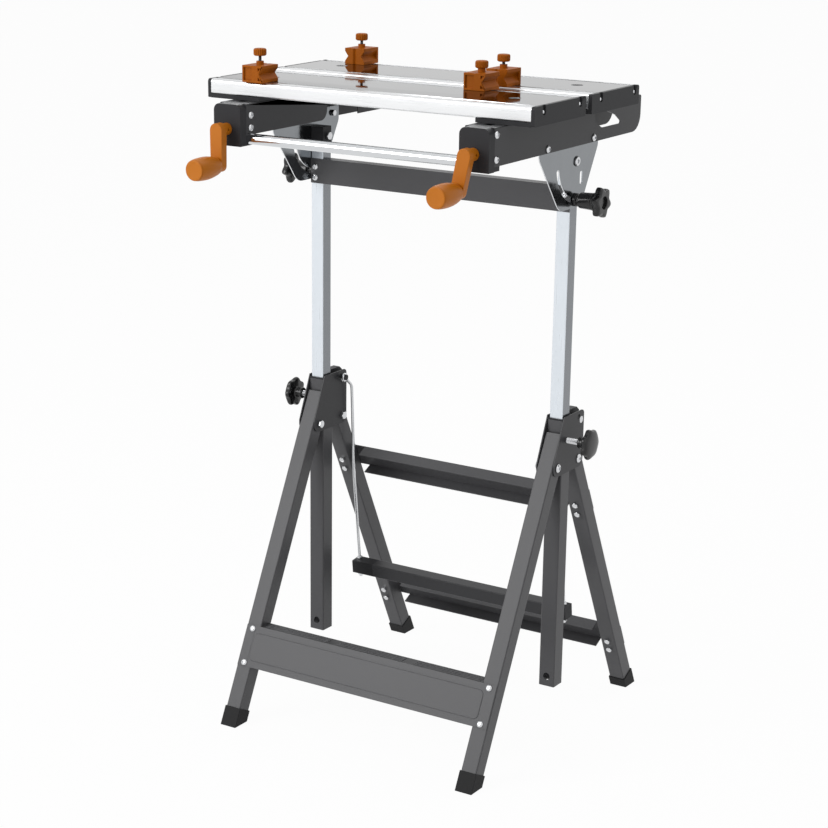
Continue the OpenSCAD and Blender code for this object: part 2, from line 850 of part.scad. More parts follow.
module release_bar() {
    x = rel_x - rel_sleeve_l;
    h = rel_w / 2;
    color("dimgray") place() rel_frame() difference() {
        yz_slab(-x, x) rounded_box([-h, -h], [h, h], sheet_t);
        yz_slab(-x - cut, x + cut) square(rel_w - 2 * sheet_t, center = true);
    }
}

module release_sleeves() {
    h = rel_w / 2;
    x = rel_x - rel_sleeve_l;
    color("black") place() rel_frame() both_sides() difference() {
        union() {
            yz_slab(x, rel_x) rounded_box([-h, -h], [h, h], sheet_t);
            yz_slab(x - rel_sleeve_l / 2, x) square(rel_w - 2 * sheet_t, center = true);
        }
        zrod(rod_x, 0, -rel_w, rel_w, rod_r);
    }
}

// A nut above the bar and an acorn nut below it
module release_nuts() {
    h = rel_w / 2;
    color("silver") place() rel_frame() both_sides() translate([rod_x, 0, 0]) difference() {
        union() {
            translate([0, 0, h]) cylinder(h = nut_h, r = nut_r, $fn = 6);
            translate([0, 0, -h - nut_h]) cylinder(h = nut_h, r = nut_r, $fn = 6);
            translate([0, 0, -h - 2 * nut_h])
                cylinder(h = nut_h, r1 = rod_r, r2 = nut_r * acorn_share - fit_gap);
        }
        cylinder(h = 2 * rel_w, r = rod_r);
        translate([0, 0, -h - nut_h * (1 + acorn_share)]) cylinder(h = rel_w, r = rod_r);
    }
}

// Upper frame: telescopic posts, pivot blocks and crossbar
module cross_bolt_holes() {
    for (s = [-1, 1])
        yrod(cross_bolt_x, -tube_w, 0, knob_z + s * cross_bolt_gap / 2, bolt_r);
}

module inner_posts() {
    color("lightgray") place() both_sides() difference() {
        translate([side_x, 0, 0]) square_tube(post_w, post_wall, post_z0, post_z1);
        cross_bolt_holes();
        xrod(side_x, side_x + post_w, 0, knob_z, stud_r + run_gap);
    }
}

module post_caps() {
    h = post_w / 2;
    k = h - post_wall;
    color("black") place() both_sides() difference() {
        union() {
            block([post_x0, -h, post_z1], [post_x1, h, tilt_z + cap_above]);
            block([side_x - k, -k, knob_z - cap_tenon], [side_x + k, k, post_z1]);
        }
        xrod(post_x0 - cut, post_x1 + cut, 0, tilt_z, pivot_r);
        xrod(side_x, post_x1 + cut, 0, knob_z, stud_r + run_gap);
        cross_bolt_holes();
    }
}

module upper_crossbar() {
    y1 = -post_w / 2;
    y0 = y1 - sheet_t;
    x_in = post_x0 - run_gap;
    z0 = cross_z - cross_h / 2;
    color("dimgray") place() difference() {
        union() {
            block([-post_x1, y0, z0], [post_x1, y1, z0 + cross_h]);
            for (z = [z0, z0 + cross_h - sheet_t])
                block([-x_in, y0, z], [x_in, y0 + bar_flange, z + sheet_t]);
        }
        both_sides() cross_bolt_holes();
    }
}

module crossbar_bolts() {
    color("silver") place() both_sides() for (s = [-1, 1])
        translate([cross_bolt_x, -post_w / 2 - sheet_t, knob_z + s * cross_bolt_gap / 2])
            rotate([0, 0, -90]) x_bolt(post_w / 2 + sheet_t, 0);
}

// Tilt pivot bolts: shank through the tilt plate and the pivot block
module tilt_pivot_bolts() {
    x1 = tilt_x1 + fit_gap;
    color("silver") place() both_sides() translate([0, 0, tilt_z]) {
        xrod(post_x0 - pivot_nut_h, x1, 0, 0, pivot_r);
        translate([x1, 0, 0]) x_head(head_r + bolt_r / 2, head_h);
        translate([post_x0 - pivot_nut_h, 0, 0]) x_nut(pivot_nut_r, pivot_nut_h, pivot_r);
    }
}

// Arms: web on top, deep outer side and shallower inner side with a gap for the post
module arm_hand_hole() {
    corner = [hand_y - hand_l / 2, hand_z - hand_h / 2];
    yz_slab(screw_x, arm_x1 + cut) polygon(rounded(
        [for (p = hand_shares) corner + [p[0] * hand_l, p[1] * hand_h]], hand_h * hand_round_shares));
}

module arm() {
    z_in = arm_z0 + inner_lift;
    place() difference() {
        union() {
            yz_slab(arm_x1 - arm_t, arm_x1) polygon(rounded(
                box_points([-arm_front_l, arm_z0], [arm_rear_l, arm_z1]), [0, corner_r, 0, 0]));
            yz_slab(arm_x0, arm_x0 + arm_t) polygon(rounded(
                box_points([-arm_front_l, z_in], [-arm_gap_front, arm_z1]), [0, inner_end_r, 0, 0]));
            yz_slab(arm_x0, arm_x0 + arm_t) polygon(rounded(
                box_points([arm_gap_back, z_in], [arm_rear_l, arm_z1]), [0, corner_r, 0, 0]));
            block([arm_x0, -arm_front_l, arm_z1 - arm_t], [arm_x1, arm_rear_l, arm_z1]);
        }
        arm_hand_hole();
        block([screw_x - web_slot_w / 2, -arm_front_l + plug_l, arm_z1 - 2 * arm_t],
            [screw_x + web_slot_w / 2, -slot_back, arm_z1 + cut]);
        for (y = tilt_bolt_ys)
            xrod(arm_x1 - arm_t - cut, arm_x1 + cut, y, tilt_bolt_z, bolt_r);
        for (z = arm_screw_zs)
            xrod(screw_x, arm_x1 + cut, arm_screw_y, z, bolt_r);
        for (z = inner_screw_zs)
            xrod(arm_x0 - cut, screw_x, inner_screw_y, z, bolt_r);
        xrod(arm_x0 - cut, screw_x, tie_y, tie_z, tie_d / 2);
    }
}

module arm_right() {
    color("dimgray") arm();
}

module arm_left() {
    color("dimgray") mirror([1, 0, 0]) arm();
}

// Housings in front of the arms, with the screw bearing and the tie socket
module arm_housings() {
    z0 = arm_z0 - housing_low;
    z_in = arm_z0 + inner_lift;
    y1 = -arm_front_l + plug_l;
    color("black") place() both_sides() difference() {
        union() {
            xz_slab(housing_y, -arm_front_l) polygon(rounded(
                box_points([arm_x0, z0], [arm_x1, arm_z1]), [0, 0, housing_r, housing_r]));
            block([arm_x0 + arm_t, -arm_front_l, arm_z0], [arm_x1 - arm_t, y1, arm_z1 - arm_t]);
            block([arm_x0, -arm_front_l, z0], [arm_x1 - arm_t, y1, z_in]);
        }
        yrod(screw_x, housing_y - cut, y1 + cut, screw_z, screw_d / 2 + fit_gap);
        xrod(arm_x0 - cut, arm_x0 + tie_deep, tie_y, tie_z, tie_d / 2);
        for (z = arm_screw_zs)
            xrod(arm_x1 - arm_screw_l, arm_x1 + cut, arm_screw_y, z, bolt_r);
        for (z = inner_screw_zs)
            xrod(arm_x0 - cut, arm_x0 + arm_screw_l, inner_screw_y, z, bolt_r);
    }
}

module arm_screws() {
    color("silver") place() both_sides() {
        for (z = arm_screw_zs)
            translate([arm_x1, arm_screw_y, z]) x_bolt(arm_screw_l, 0);
        for (z = inner_screw_zs)
            translate([arm_x0, inner_screw_y, z]) mirror([1, 0, 0]) x_bolt(arm_screw_l, 0);
    }
}

module tie_tube() {
    x = arm_x0 + tie_deep;
    color("silver") place() difference() {
        xrod(-x, x, tie_y, tie_z, tie_d / 2);
        xrod(-x - cut, x + cut, tie_y, tie_z, tie_d / 2 - tie_wall);
    }
}

// Tilt plates with the curved slot round the tilt axis
function tilt_outline() =
    let (f = tilt_back - tilt_w, low = tilt_top - tilt_h)
    rounded([[f, tilt_top], [f, tilt_wing], [-tilt_w * tilt_low_shares[0], low],
        [tilt_w * tilt_low_shares[1], low], [tilt_back, tilt_wing], [tilt_back, tilt_top]],
        [0, corner_r / 2, corner_r, corner_r / 2, corner_r / 2, 0]);

module arc_slot(r, w, a1) {
    polygon(concat(
        [for (i = [0 : slot_steps]) let (a = a1 * i / slot_steps) (r + w / 2) * [-sin(a), -cos(a)]],
        [for (i = [slot_steps : -1 : 0]) let (a = a1 * i / slot_steps) (r - w / 2) * [-sin(a), -cos(a)]]));
    for (a = [0, a1])
        translate(r * [-sin(a), -cos(a)]) circle(r = w / 2);
}

module tilt_plates() {
    color("silver") place() both_sides() difference() {
        translate([0, 0, tilt_z]) yz_slab(tilt_x0, tilt_x1) difference() {
            polygon(tilt_outline());
            arc_slot(knob_drop, slot_w, tilt_max);
            translate([small_slot_y, -small_slot_z])
                rounded_box([-slot_w / 2, 0], [slot_w / 2, small_slot_l], slot_w * small_round_share);
        }
        xrod(tilt_x0 - cut, tilt_x1 + cut, 0, tilt_z, pivot_r + fit_gap);
        for (y = tilt_bolt_ys)
            xrod(tilt_x0 - cut, tilt_x1 + cut, y, tilt_bolt_z, bolt_r);
    }
}

module tilt_plate_bolts() {
    color("silver") place() both_sides() for (y = tilt_bolt_ys)
        translate([arm_x1, y, tilt_bolt_z]) x_bolt(arm_t + tilt_t + nut_h, arm_t + tilt_t);
}

// Jaw profile: outline, two T slots and hollow cells
module jaw_section() {
    cave_z = jaw_t - t_lip - t_cave_h;
    difference() {
        polygon(rounded(box_points([0, 0], [jaw_w, jaw_t]), [jaw_wall, jaw_wall, jaw_wall, jaw_edge_r]));
        for (y = [slot_outer, slot_inner]) {
            translate([y - t_open / 2, cave_z + cut]) square([t_open, jaw_t]);
            translate([y - t_cave_w / 2, cave_z]) square([t_cave_w, t_cave_h]);
        }
        for (c = cell_shares)
            translate([jaw_w * c[0], jaw_wall]) square([jaw_w * (c[1] - c[0]), jaw_t - 2 * jaw_wall]);
    }
}

// Jaw from its outer edge y0, way 1 to the back or -1 to the front
module jaw_bar(y0, way, hole_y, screws) {
    x = jaw_l / 2;
    difference() {
        translate([0, y0, jaw_z0]) scale([1, way, 1]) yz_slab(-x, x) jaw_section();
        both_sides() {
            zrod(dog_hole_x, hole_y, jaw_z0 - cut, jaw_z1 + cut, dog_hole_d / 2);
            for (y = screws)
                xrod(x - end_screw_l, x + cut, y0 + way * y, jaw_z1 - end_screw_down, end_screw_r);
        }
    }
}

module front_jaw() {
    color("gainsboro") place() jaw_bar(front_jaw_y0, 1, front_hole_y, end_screws_front);
}

module rear_jaw() {
    color("gainsboro") place() jaw_bar(rear_jaw_y1, -1, rear_hole_y, end_screws_rear);
}

// End plate and carriage plate in one piece
module jaw_end(y0, way, z0, hole_y, screws) {
    x0 = jaw_l / 2;
    difference() {
        union() {
            translate([0, y0, 0]) scale([1, way, 1]) yz_slab(x0, x0 + end_t)
                polygon(rounded(box_points([0, z0], [jaw_w, jaw_z1]),
                [jaw_wall, jaw_wall, jaw_wall, jaw_edge_r]));
            block([x0 - under_l, min(y0, y0 + way * jaw_w), z0], [x0, max(y0, y0 + way * jaw_w), jaw_z0]);
        }
        for (y = screws) {
            xrod(x0 - cut, x0 + end_t + cut, y0 + way * y, jaw_z1 - end_screw_down, end_screw_r);
            xrod(x0 + end_t - end_recess_d, x0 + end_t + cut, y0 + way * y,
                jaw_z1 - end_screw_down, end_recess_r);
        }
        zrod(dog_hole_x, hole_y, z0 - cut, jaw_z0 + cut, dog_hole_d / 2);
    }
}

module front_jaw_ends() {
    color("black") place() both_sides()
        jaw_end(front_jaw_y0, 1, arm_z1 + run_gap, front_hole_y, end_screws_front);
}

module rear_jaw_ends() {
    color("black") place() both_sides()
        jaw_end(rear_jaw_y1, -1, arm_z1, rear_hole_y, end_screws_rear);
}

module end_screw_set(y0, way, screws) {
    x0 = jaw_l / 2;
    x1 = x0 + end_t - end_recess_d;
    color("silver") place() both_sides() for (y = screws)
        translate([0, y0 + way * y, jaw_z1 - end_screw_down]) {
            xrod(x0 - end_screw_l, x1, 0, 0, end_screw_r);
            translate([x1, 0, 0]) x_head(end_recess_r - run_gap, end_recess_d * dish_share);
        }
}

module front_jaw_screws() {
    end_screw_set(front_jaw_y0, 1, end_screws_front);
}

module rear_jaw_screws() {
    end_screw_set(rear_jaw_y1, -1, end_screws_rear);
}

// Each nut has a neck that goes up through the web of the arm to the jaw
module jaw_nuts() {
    h = jaw_nut_w / 2;
    neck = web_slot_w / 2 - run_gap;
    color("silver") place() both_sides() difference() {
        union() {
            block([screw_x - h, jaw_nut_y - jaw_nut_l / 2, screw_z - h],
                [screw_x + h, jaw_nut_y + jaw_nut_l / 2, screw_z + h]);
            block([screw_x - neck, jaw_nut_y - jaw_neck_l / 2, screw_z],
                [screw_x + neck, jaw_nut_y + jaw_neck_l / 2, arm_z1 + run_gap]);
        }
        yrod(screw_x, jaw_nut_y - jaw_nut_l, jaw_nut_y + jaw_nut_l, screw_z, screw_d / 2 + fit_gap);
    }
}

// Crank in a frame with the screw axis along Y and the arm hanging down
module crank() {
    a = crank_w / 2;
    b = crank_low_w / 2;
    difference() {
        union() {
            yrod(0, crank_y0, crank_y1, 0, hub_r1);
            xz_slab(crank_y0, crank_y0 + crank_t) polygon(rounded(
                [[-a, a], [a, a], [b, -crank_r - b], [-b, -crank_r - b]],
                [a, a, b, b] * crank_round_share));
            translate([0, 0, -crank_r]) yrod(0, grip_y0 + grip_cap, crank_y0 + cut, 0, pin_r);
        }
        yrod(0, crank_y0 + crank_t / 2, crank_y1 + cut, 0, screw_d / 2);
    }
}

module crank_left() {
    color("chocolate") place() translate([-screw_x, 0, screw_z]) crank();
}

module crank_right() {
    color("chocolate") place() translate([screw_x, 0, screw_z]) rotate([0, crank_right_turn, 0]) crank();
}

module lead_screw(x) {
    y0 = -arm_front_l + plug_l + run_gap;
    color("silver") place() {
        yrod(x, crank_y0 + crank_t / 2, -screw_end, screw_z, screw_d / 2);
        yrod(x, y0, y0 + nut_h, screw_z, screw_d);
    }
}

module lead_screw_left() {
    lead_screw(-screw_x);
}

module lead_screw_right() {
    lead_screw(screw_x);
}

// Barrel grips that turn on the crank pins
module grip() {
    r = grip_d / 2;
    l = crank_y0 - run_gap - grip_y0;
    rotate([-90, 0, 0]) rotate_extrude() difference() {
        polygon(concat([[0, 0]], [for (p = grip_shares) [r * p[0], l * p[1]]], [[0, l]]));
        translate([-cut, grip_cap - run_gap]) square([pin_r + fit_gap + cut, l]);
    }
}

module crank_grip_left() {
    color("chocolate") place() translate([-screw_x, grip_y0, screw_z - crank_r]) grip();
}

module crank_grip_right() {
    color("chocolate") place() translate([screw_x, grip_y0, screw_z])
        rotate([0, crank_right_turn, 0]) translate([0, 0, -crank_r]) grip();
}

// Clamping dogs: V grooves on both ends, stud and knob on top
function dog_profile() =
    let (a = dog_l / 2, m = dog_h / 2, v = v_open / 2)
    [[-a, 0], [a, 0], [a, m - v], [a - v_deep, m], [a, m + v], [a, dog_h],
        [-a, dog_h], [-a, m + v], [-a + v_deep, m], [-a, m - v]];

// Three-cornered pocket in a dog's back face
module back_corner(w, top) {
    xz_slab(w - back_deep, w + cut)
        polygon([[corner_x[0], top], [corner_x[1], top], [corner_x[0], top - corner_h]]);
}

// The clamp face looks along way, the back face has the recess
module dog(way) {
    w = dog_w / 2;
    difference() {
        union() {
            xz_slab(-w, w) polygon(dog_profile());
            scale([way, -way, 1]) block([-dog_l / 2, w - back_wall, 0], [0, w, dog_h]);
            zrod(0, 0, dog_h - cut, dog_h + dog_boss_h, dog_boss_r);
            block([-dog_key_l / 2, -t_open / 2 + run_gap, -dog_key_h],
                [dog_key_l / 2, t_open / 2 - run_gap, cut]);
        }
        zrod(0, 0, -dog_h, 2 * dog_h, dog_stud_r + run_gap);
        translate([0, way * w, -cut]) rotate([0, 0, 45]) translate([-groove, -groove, 0])
            cube([2 * groove, 2 * groove, dog_h + 2 * cut]);
        top = dog_h - back_low;
        scale([way, -way, 1]) {
            block([back_x[0], w - back_deep, back_low], [back_x[1], w + cut, dog_h - back_low]);
            back_corner(w, top);
            translate([0, 0, dog_h]) scale([1, 1, -1]) back_corner(w, top);
        }
    }
}

module at_dog(i) {
    place() translate([dog_x[i], dog_y[i], jaw_z1 + dog_seat]) children();
}

module dog_front_left() {
    color("chocolate") at_dog(0) dog(1);
}

module dog_rear_left() {
    color("chocolate") at_dog(1) dog(-1);
}

module dog_front_right() {
    color("chocolate") at_dog(2) dog(1);
}

module dog_rear_right() {
    color("chocolate") at_dog(3) dog(-1);
}

// T nuts that run in the slots under the dogs
module dog_nut(i) {
    w = t_cave_w / 2 - run_gap;
    z1 = -t_lip - dog_seat - run_gap;
    color("silver") at_dog(i) difference() {
        block([-w, -w, z1 - t_cave_h + 2 * run_gap], [w, w, z1]);
        zrod(0, 0, -jaw_t, jaw_t, dog_stud_r + fit_gap);
    }
}

module dog_nut_front_left() {
    dog_nut(0);
}

module dog_nut_rear_left() {
    dog_nut(1);
}

module dog_nut_front_right() {
    dog_nut(2);
}

module dog_nut_rear_right() {
    dog_nut(3);
}

// Knob and stud of a dog
module dog_knob(i) {
    z = dog_h + dog_boss_h + run_gap + knob_lift[i];
    r = dog_knob_d / 2;
    color("chocolate") at_dog(i) {
        difference() {
            zrod(0, 0, z, z + dog_knob_h, r);
            for (k = [0 : dog_flutes - 1])
                rotate([0, 0, k * 360 / dog_flutes])
                    zrod(r * (1 + flute_share / 2), 0, z - cut, z + 2 * dog_knob_h, r * flute_share);
        }
        zrod(0, 0, -t_lip - t_cave_h, z + cut, dog_stud_r);
    }
}

module dog_knob_front_left() {
    dog_knob(0);
}

module dog_knob_rear_left() {
    dog_knob(1);
}

module dog_knob_front_right() {
    dog_knob(2);
}

module dog_knob_rear_right() {
    dog_knob(3);
}

// Star outline with round lobes
module star(r, depth, lobes) {
    n = lobes * star_steps;
    polygon([for (i = [0 : n - 1])
        let (a = i * 360 / n, k = r - depth / 2 * (1 - cos(lobes * a)))
        k * [cos(a), sin(a)]]);
}

// Stud, neck and star along +X: the neck runs from x0 to x1 and the star from there to x2
module star_grip(tip, stud, x0, x1, x2, neck_r, lobe, lobes, turn) {
    xrod(tip, x1, 0, 0, stud);
    translate([x0, 0, 0]) rotate([0, 90, 0])
        cylinder(h = x1 - x0 + cut, r1 = neck_r * neck_share, r2 = neck_r);
    yz_slab(x1, x2) rotate([0, 0, turn]) star(star_d / 2, lobe, lobes);
}

module tilt_knob() {
    x0 = tilt_x1 + tilt_washer + tilt_gap;
    x1 = x0 + tilt_neck;
    x2 = x1 + star_t;
    place() translate([0, 0, knob_z]) {
        difference() {
            star_grip(side_x + cut, stud_r, x0, x1, x2, tilt_neck_r, tilt_lobe, tilt_lobes, tilt_turn);
            xrod(x2 - star_dish, x2 + cut, 0, 0, tilt_neck_r * tilt_dish_share);
        }
        xrod(tilt_x1 + run_gap, x0 - tilt_gap, 0, 0, washer_r);
    }
}

module tilt_knob_right() {
    color("black") tilt_knob();
}

module tilt_knob_left() {
    color("black") mirror([1, 0, 0]) tilt_knob();
}

module height_knob() {
    x0 = plate_x1 + height_gap;
    x1 = x0 + height_neck;
    x2 = x1 + star_t - cap_t[0] - cap_t[1];
    x3 = x2 + cap_t[0];
    place() translate([0, 0, height_knob_z]) {
        star_grip(post_x1 + run_gap, height_stud_r, x0, x1, x2, height_neck_r, height_lobe, height_lobes, 0);
        xrod(x2, x3, 0, 0, star_d / 2 * cap_shares[0]);
        translate([x3, 0, 0]) rotate([0, 90, 0])
            cylinder(h = cap_t[1], r1 = star_d / 2 * cap_shares[0], r2 = star_d / 2 * cap_shares[1]);
    }
}

module height_knob_right() {
    color("black") height_knob();
}

module height_knob_left() {
    color("black") mirror([1, 0, 0]) height_knob();
}

centre_tubes();
hub_plates();
pivot_bolts();
post_guides();
latch_pins();
front_legs();
front_step_panel();
front_panel_bolts();
front_feet();
rear_legs();
rear_upper_bar();
rear_lower_bar();
rear_bar_bolts();
rear_feet();
release_latches();
release_rods();
release_bar();
release_sleeves();
release_nuts();
inner_posts();
post_caps();
upper_crossbar();
crossbar_bolts();
tilt_pivot_bolts();
arm_left();
arm_right();
arm_housings();
arm_screws();
tie_tube();
tilt_plates();
tilt_plate_bolts();
rear_jaw();
rear_jaw_ends();
rear_jaw_screws();
front_jaw();
front_jaw_ends();
front_jaw_screws();
jaw_nuts();
crank_left();
crank_right();
lead_screw_left();
lead_screw_right();
crank_grip_left();
crank_grip_right();
dog_front_left();
dog_rear_left();
dog_front_right();
dog_rear_right();
dog_nut_front_left();
dog_nut_rear_left();
dog_nut_front_right();
dog_nut_rear_right();
dog_knob_front_left();
dog_knob_rear_left();
dog_knob_front_right();
dog_knob_rear_right();
tilt_knob_left();
tilt_knob_right();
height_knob_left();
height_knob_right();
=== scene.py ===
"""Folding workbench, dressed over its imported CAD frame.

Each sub-assembly of the bench is a class below. It holds its own sizes in millimetres, builds its meshes in
the frame of the CAD model (metres, floor at z = 0, the jaws along X, the front at -Y) and gives each its
finish.
"""

import json
import logging
import math
from dataclasses import dataclass, field
from enum import Enum
from typing import Any, Callable, Iterable, Optional, Sequence, Union

import bmesh
import bpy
from mathutils import Matrix, Vector

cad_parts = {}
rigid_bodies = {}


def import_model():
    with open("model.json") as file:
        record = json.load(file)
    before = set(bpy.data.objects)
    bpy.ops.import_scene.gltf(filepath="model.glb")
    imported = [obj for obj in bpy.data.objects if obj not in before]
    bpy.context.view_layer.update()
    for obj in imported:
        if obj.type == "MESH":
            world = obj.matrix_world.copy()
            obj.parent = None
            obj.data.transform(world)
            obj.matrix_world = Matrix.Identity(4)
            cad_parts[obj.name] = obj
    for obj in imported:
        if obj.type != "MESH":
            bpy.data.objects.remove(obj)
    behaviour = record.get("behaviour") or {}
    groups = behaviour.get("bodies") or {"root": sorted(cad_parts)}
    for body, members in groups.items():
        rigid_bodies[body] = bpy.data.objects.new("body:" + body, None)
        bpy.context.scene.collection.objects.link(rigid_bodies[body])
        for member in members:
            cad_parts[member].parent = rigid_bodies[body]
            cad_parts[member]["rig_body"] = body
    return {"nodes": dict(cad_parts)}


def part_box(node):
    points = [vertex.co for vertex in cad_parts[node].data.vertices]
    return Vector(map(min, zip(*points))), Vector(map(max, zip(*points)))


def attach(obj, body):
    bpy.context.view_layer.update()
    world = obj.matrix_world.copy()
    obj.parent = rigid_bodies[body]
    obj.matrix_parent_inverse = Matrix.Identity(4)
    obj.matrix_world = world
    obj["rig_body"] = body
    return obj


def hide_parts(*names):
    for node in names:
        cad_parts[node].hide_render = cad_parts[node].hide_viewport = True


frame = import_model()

log = logging.getLogger("workbench")

# A millimetre in the scene's metres
MM = 0.001
# How far each leg leans from the upright, and where the axis of the centre tubes lies along Y
LEG_LEAN = math.radians(26)
TUBE_Y = 36.0215 * MM
# How far a cutter reaches past what it cuts, in millimetres
OVERRUN = 2.0
# In metres: points of a solid closer than the first are one point, points of a turned shape closer than the
# second are one, and places closer than the third are level
MERGE_REACH = 1e-6
SEAM_REACH = 1e-7
LEVEL_REACH = 1e-5
# In degrees: faces that meet at less than the first angle are one flat face, edges sharper than the second
# are rounded, and edges still sharper than the third are shaded as sharp
FLAT_ANGLE = 0.6
SHARP_ANGLE = 35.0
SHADE_ANGLE = 38.0
# What a node's input is given, and the tests that pick edges and faces
Value = Union[float, int, str, bool, Sequence[float], bpy.types.NodeSocket, None]
EdgeTest = Callable[[bmesh.types.BMEdge], bool]
FaceTest = Callable[[bmesh.types.BMFace], bool]


def linear(code: str, gain: float = 1.0) -> tuple[float, float, float, float]:
    """Turns an sRGB hex colour into a linear one.

    Args:
        code: The colour as #rrggbb.
        gain: What the linear colour is multiplied by.

    Returns:
        The linear red, green, blue and alpha.
    """
    parts = [int(code[i : i + 2], 16) / 255 for i in (1, 3, 5)]
    plain = [c / 12.92 if c <= 0.04045 else ((c + 0.055) / 1.055) ** 2.4 for c in parts]
    return (*(min(1.0, c * gain) for c in plain), 1.0)


def add(tree: bpy.types.NodeTree, kind: str, links: Optional[dict[Any, Value]] = None,
        **settings: Any) -> bpy.types.Node:
    """Adds one node with its settings and its links.

    Args:
        tree: The tree that the node goes into.
        kind: The node's type name.
        links: For each input, by name or number, a socket to link or a value to set.
        **settings: Properties of the node itself.

    Returns:
        The new node.
    """
    made = tree.nodes.new(kind)
    for name, value in settings.items():
        setattr(made, name, value)
    for key, value in (links or {}).items():
        if isinstance(value, bpy.types.NodeSocket):
            tree.links.new(value, made.inputs[key])
        else:
            made.inputs[key].default_value = value
    return made


def blank_tree(owner: Union[bpy.types.Material, bpy.types.World]) -> bpy.types.NodeTree:
    """Gives a material or a world an empty node tree.

    Args:
        owner: The material or the world.

    Returns:
        Its tree.
    """
    owner.use_nodes = True
    owner.node_tree.nodes.clear()
    return owner.node_tree


class Slot(Enum):
    """The record's material slots."""

    DARK_STEEL = "dark_steel"
    ZINC = "zinc"
    BRIGHT_STEEL = "bright_steel"
    CHROME = "chrome_tube"
    ALUMINIUM = "aluminium"
    BLACK_PLASTIC = "black_plastic"
    ORANGE_PLASTIC = "orange_plastic"
    RUBBER = "rubber"


class Grain(Enum):
    """How a surface was made, which sets the pattern of its relief and gloss."""

    PEEL = "cured powder, a fine orange peel"
    SPARK = "moulded in a spark-eroded tool"
    DRAWN = "drawn or brushed along X"
    RISEN = "drawn along Z"
    SPANGLE = "plated, with faint crystals"
    SMOOTH = "polished or plated bright"


@dataclass(frozen=True)
class Finish:
    """One finish: what the thing is made of and how its surface was made.

    Its gloss follows the part SPAN of the relief's height and is never clearer than LEAST_ROUGHNESS. A drawn
    line is as long as its width divided by STRETCH. A sparked grain comes and goes at CLOUD_SHARE of its
    scale.
    """

    SPAN = (0.2, 0.8)
    LEAST_ROUGHNESS = 0.02
    COAT_ROUGHNESS = 0.08
    STRETCH = 0.02
    CLOUD_SHARE = 0.4

    name: str
    slot: Slot
    colour: str
    grain: Grain
    roughness: float
    metallic: float = 0.0
    ior: float = 1.5
    grain_mm: float = 1.5
    relief_mm: float = 0.02
    mottle: float = 0.05
    mottle_mm: float = 60.0
    gloss_spread: float = 0.06
    coat: float = 0.0

    def material(self) -> bpy.types.Material:
        """Returns the finish as a material, built once."""
        known = bpy.data.materials.get(self.name)
        return known if known else self.build()

    def build(self) -> bpy.types.Material:
        """Builds the node tree of the finish.

        Returns:
            The new material.
        """
        made = bpy.data.materials.new(self.name)
        tree = blank_tree(made)
        place = add(tree, "ShaderNodeTexCoord").outputs["Object"]
        cloud = add(tree, "ShaderNodeTexNoise", {"Vector": place, "Scale": 1 / (self.mottle_mm * MM),
                                                 "Detail": 3.0})
        tint = add(tree, "ShaderNodeMix", {0: cloud.outputs["Fac"], 6: linear(self.colour, 1 - self.mottle),
                                           7: linear(self.colour, 1 + self.mottle)}, data_type="RGBA")
        height = self.relief(tree, place)
        gloss = add(tree, "ShaderNodeMapRange", {
            "Value": height, "From Min": self.SPAN[0], "From Max": self.SPAN[1],
            "To Min": max(self.LEAST_ROUGHNESS, self.roughness - self.gloss_spread),
            "To Max": min(1.0, self.roughness + self.gloss_spread)})
        bump = add(tree, "ShaderNodeBump", {"Height": height, "Distance": self.relief_mm * MM,
                                            "Strength": 1.0})
        shader = add(tree, "ShaderNodeBsdfPrincipled", {
            "Base Color": tint.outputs[2], "Metallic": self.metallic, "Roughness": gloss.outputs["Result"],
            "Normal": bump.outputs["Normal"]})
        if self.metallic < 1:
            shader.inputs["IOR"].default_value = self.ior
        if self.coat:
            shader.inputs["Coat Weight"].default_value = self.coat
            shader.inputs["Coat Roughness"].default_value = self.COAT_ROUGHNESS
        add(tree, "ShaderNodeOutputMaterial", {"Surface": shader.outputs["BSDF"]})
        return made

    def relief(self, tree: bpy.types.NodeTree, place: bpy.types.NodeSocket) -> bpy.types.NodeSocket:
        """Adds the pattern that the way of making leaves.

        Args:
            tree: The material's tree.
            place: The object coordinates.

        Returns:
            A height from 0 to 1.
        """
        scale = 1 / (self.grain_mm * MM)
        if self.grain in (Grain.DRAWN, Grain.RISEN):
            scales = (self.STRETCH, 1.0, 1.0) if self.grain is Grain.DRAWN else (1.0, 1.0, self.STRETCH)
            stretched = add(tree, "ShaderNodeMapping", {"Vector": place, "Scale": scales})
            return add(tree, "ShaderNodeTexNoise", {"Vector": stretched.outputs["Vector"], "Scale": scale,
                                                    "Detail": 2.0, "Roughness": 0.7}).outputs["Fac"]
        if self.grain is Grain.SPANGLE:
            cells = add(tree, "ShaderNodeTexVoronoi", {"Vector": place, "Scale": scale}, feature="SMOOTH_F1")
            return cells.outputs["Distance"]
        if self.grain is Grain.SPARK:
            cells = add(tree, "ShaderNodeTexVoronoi", {"Vector": place, "Scale": scale})
            cloud = add(tree, "ShaderNodeTexNoise", {"Vector": place, "Scale": scale * self.CLOUD_SHARE,
                                                     "Detail": 4.0})
            return add(tree, "ShaderNodeMath", {0: cells.outputs["Distance"], 1: cloud.outputs["Fac"]},
                       operation="MULTIPLY").outputs[0]
        return add(tree, "ShaderNodeTexNoise", {"Vector": place, "Scale": scale, "Detail": 2.0,
                                                "Roughness": 0.45}).outputs["Fac"]


# Steel with a cured powder coat: dark, satin and a fine orange peel. The peel of about 1 mm is drawn at 2 mm.
POWDER_COAT = Finish("powder_coated_steel", Slot.DARK_STEEL, "#525254", Grain.PEEL, 0.34, ior=1.32,
                     grain_mm=2.0, relief_mm=0.003, mottle=0.03, mottle_mm=120, gloss_spread=0.03)
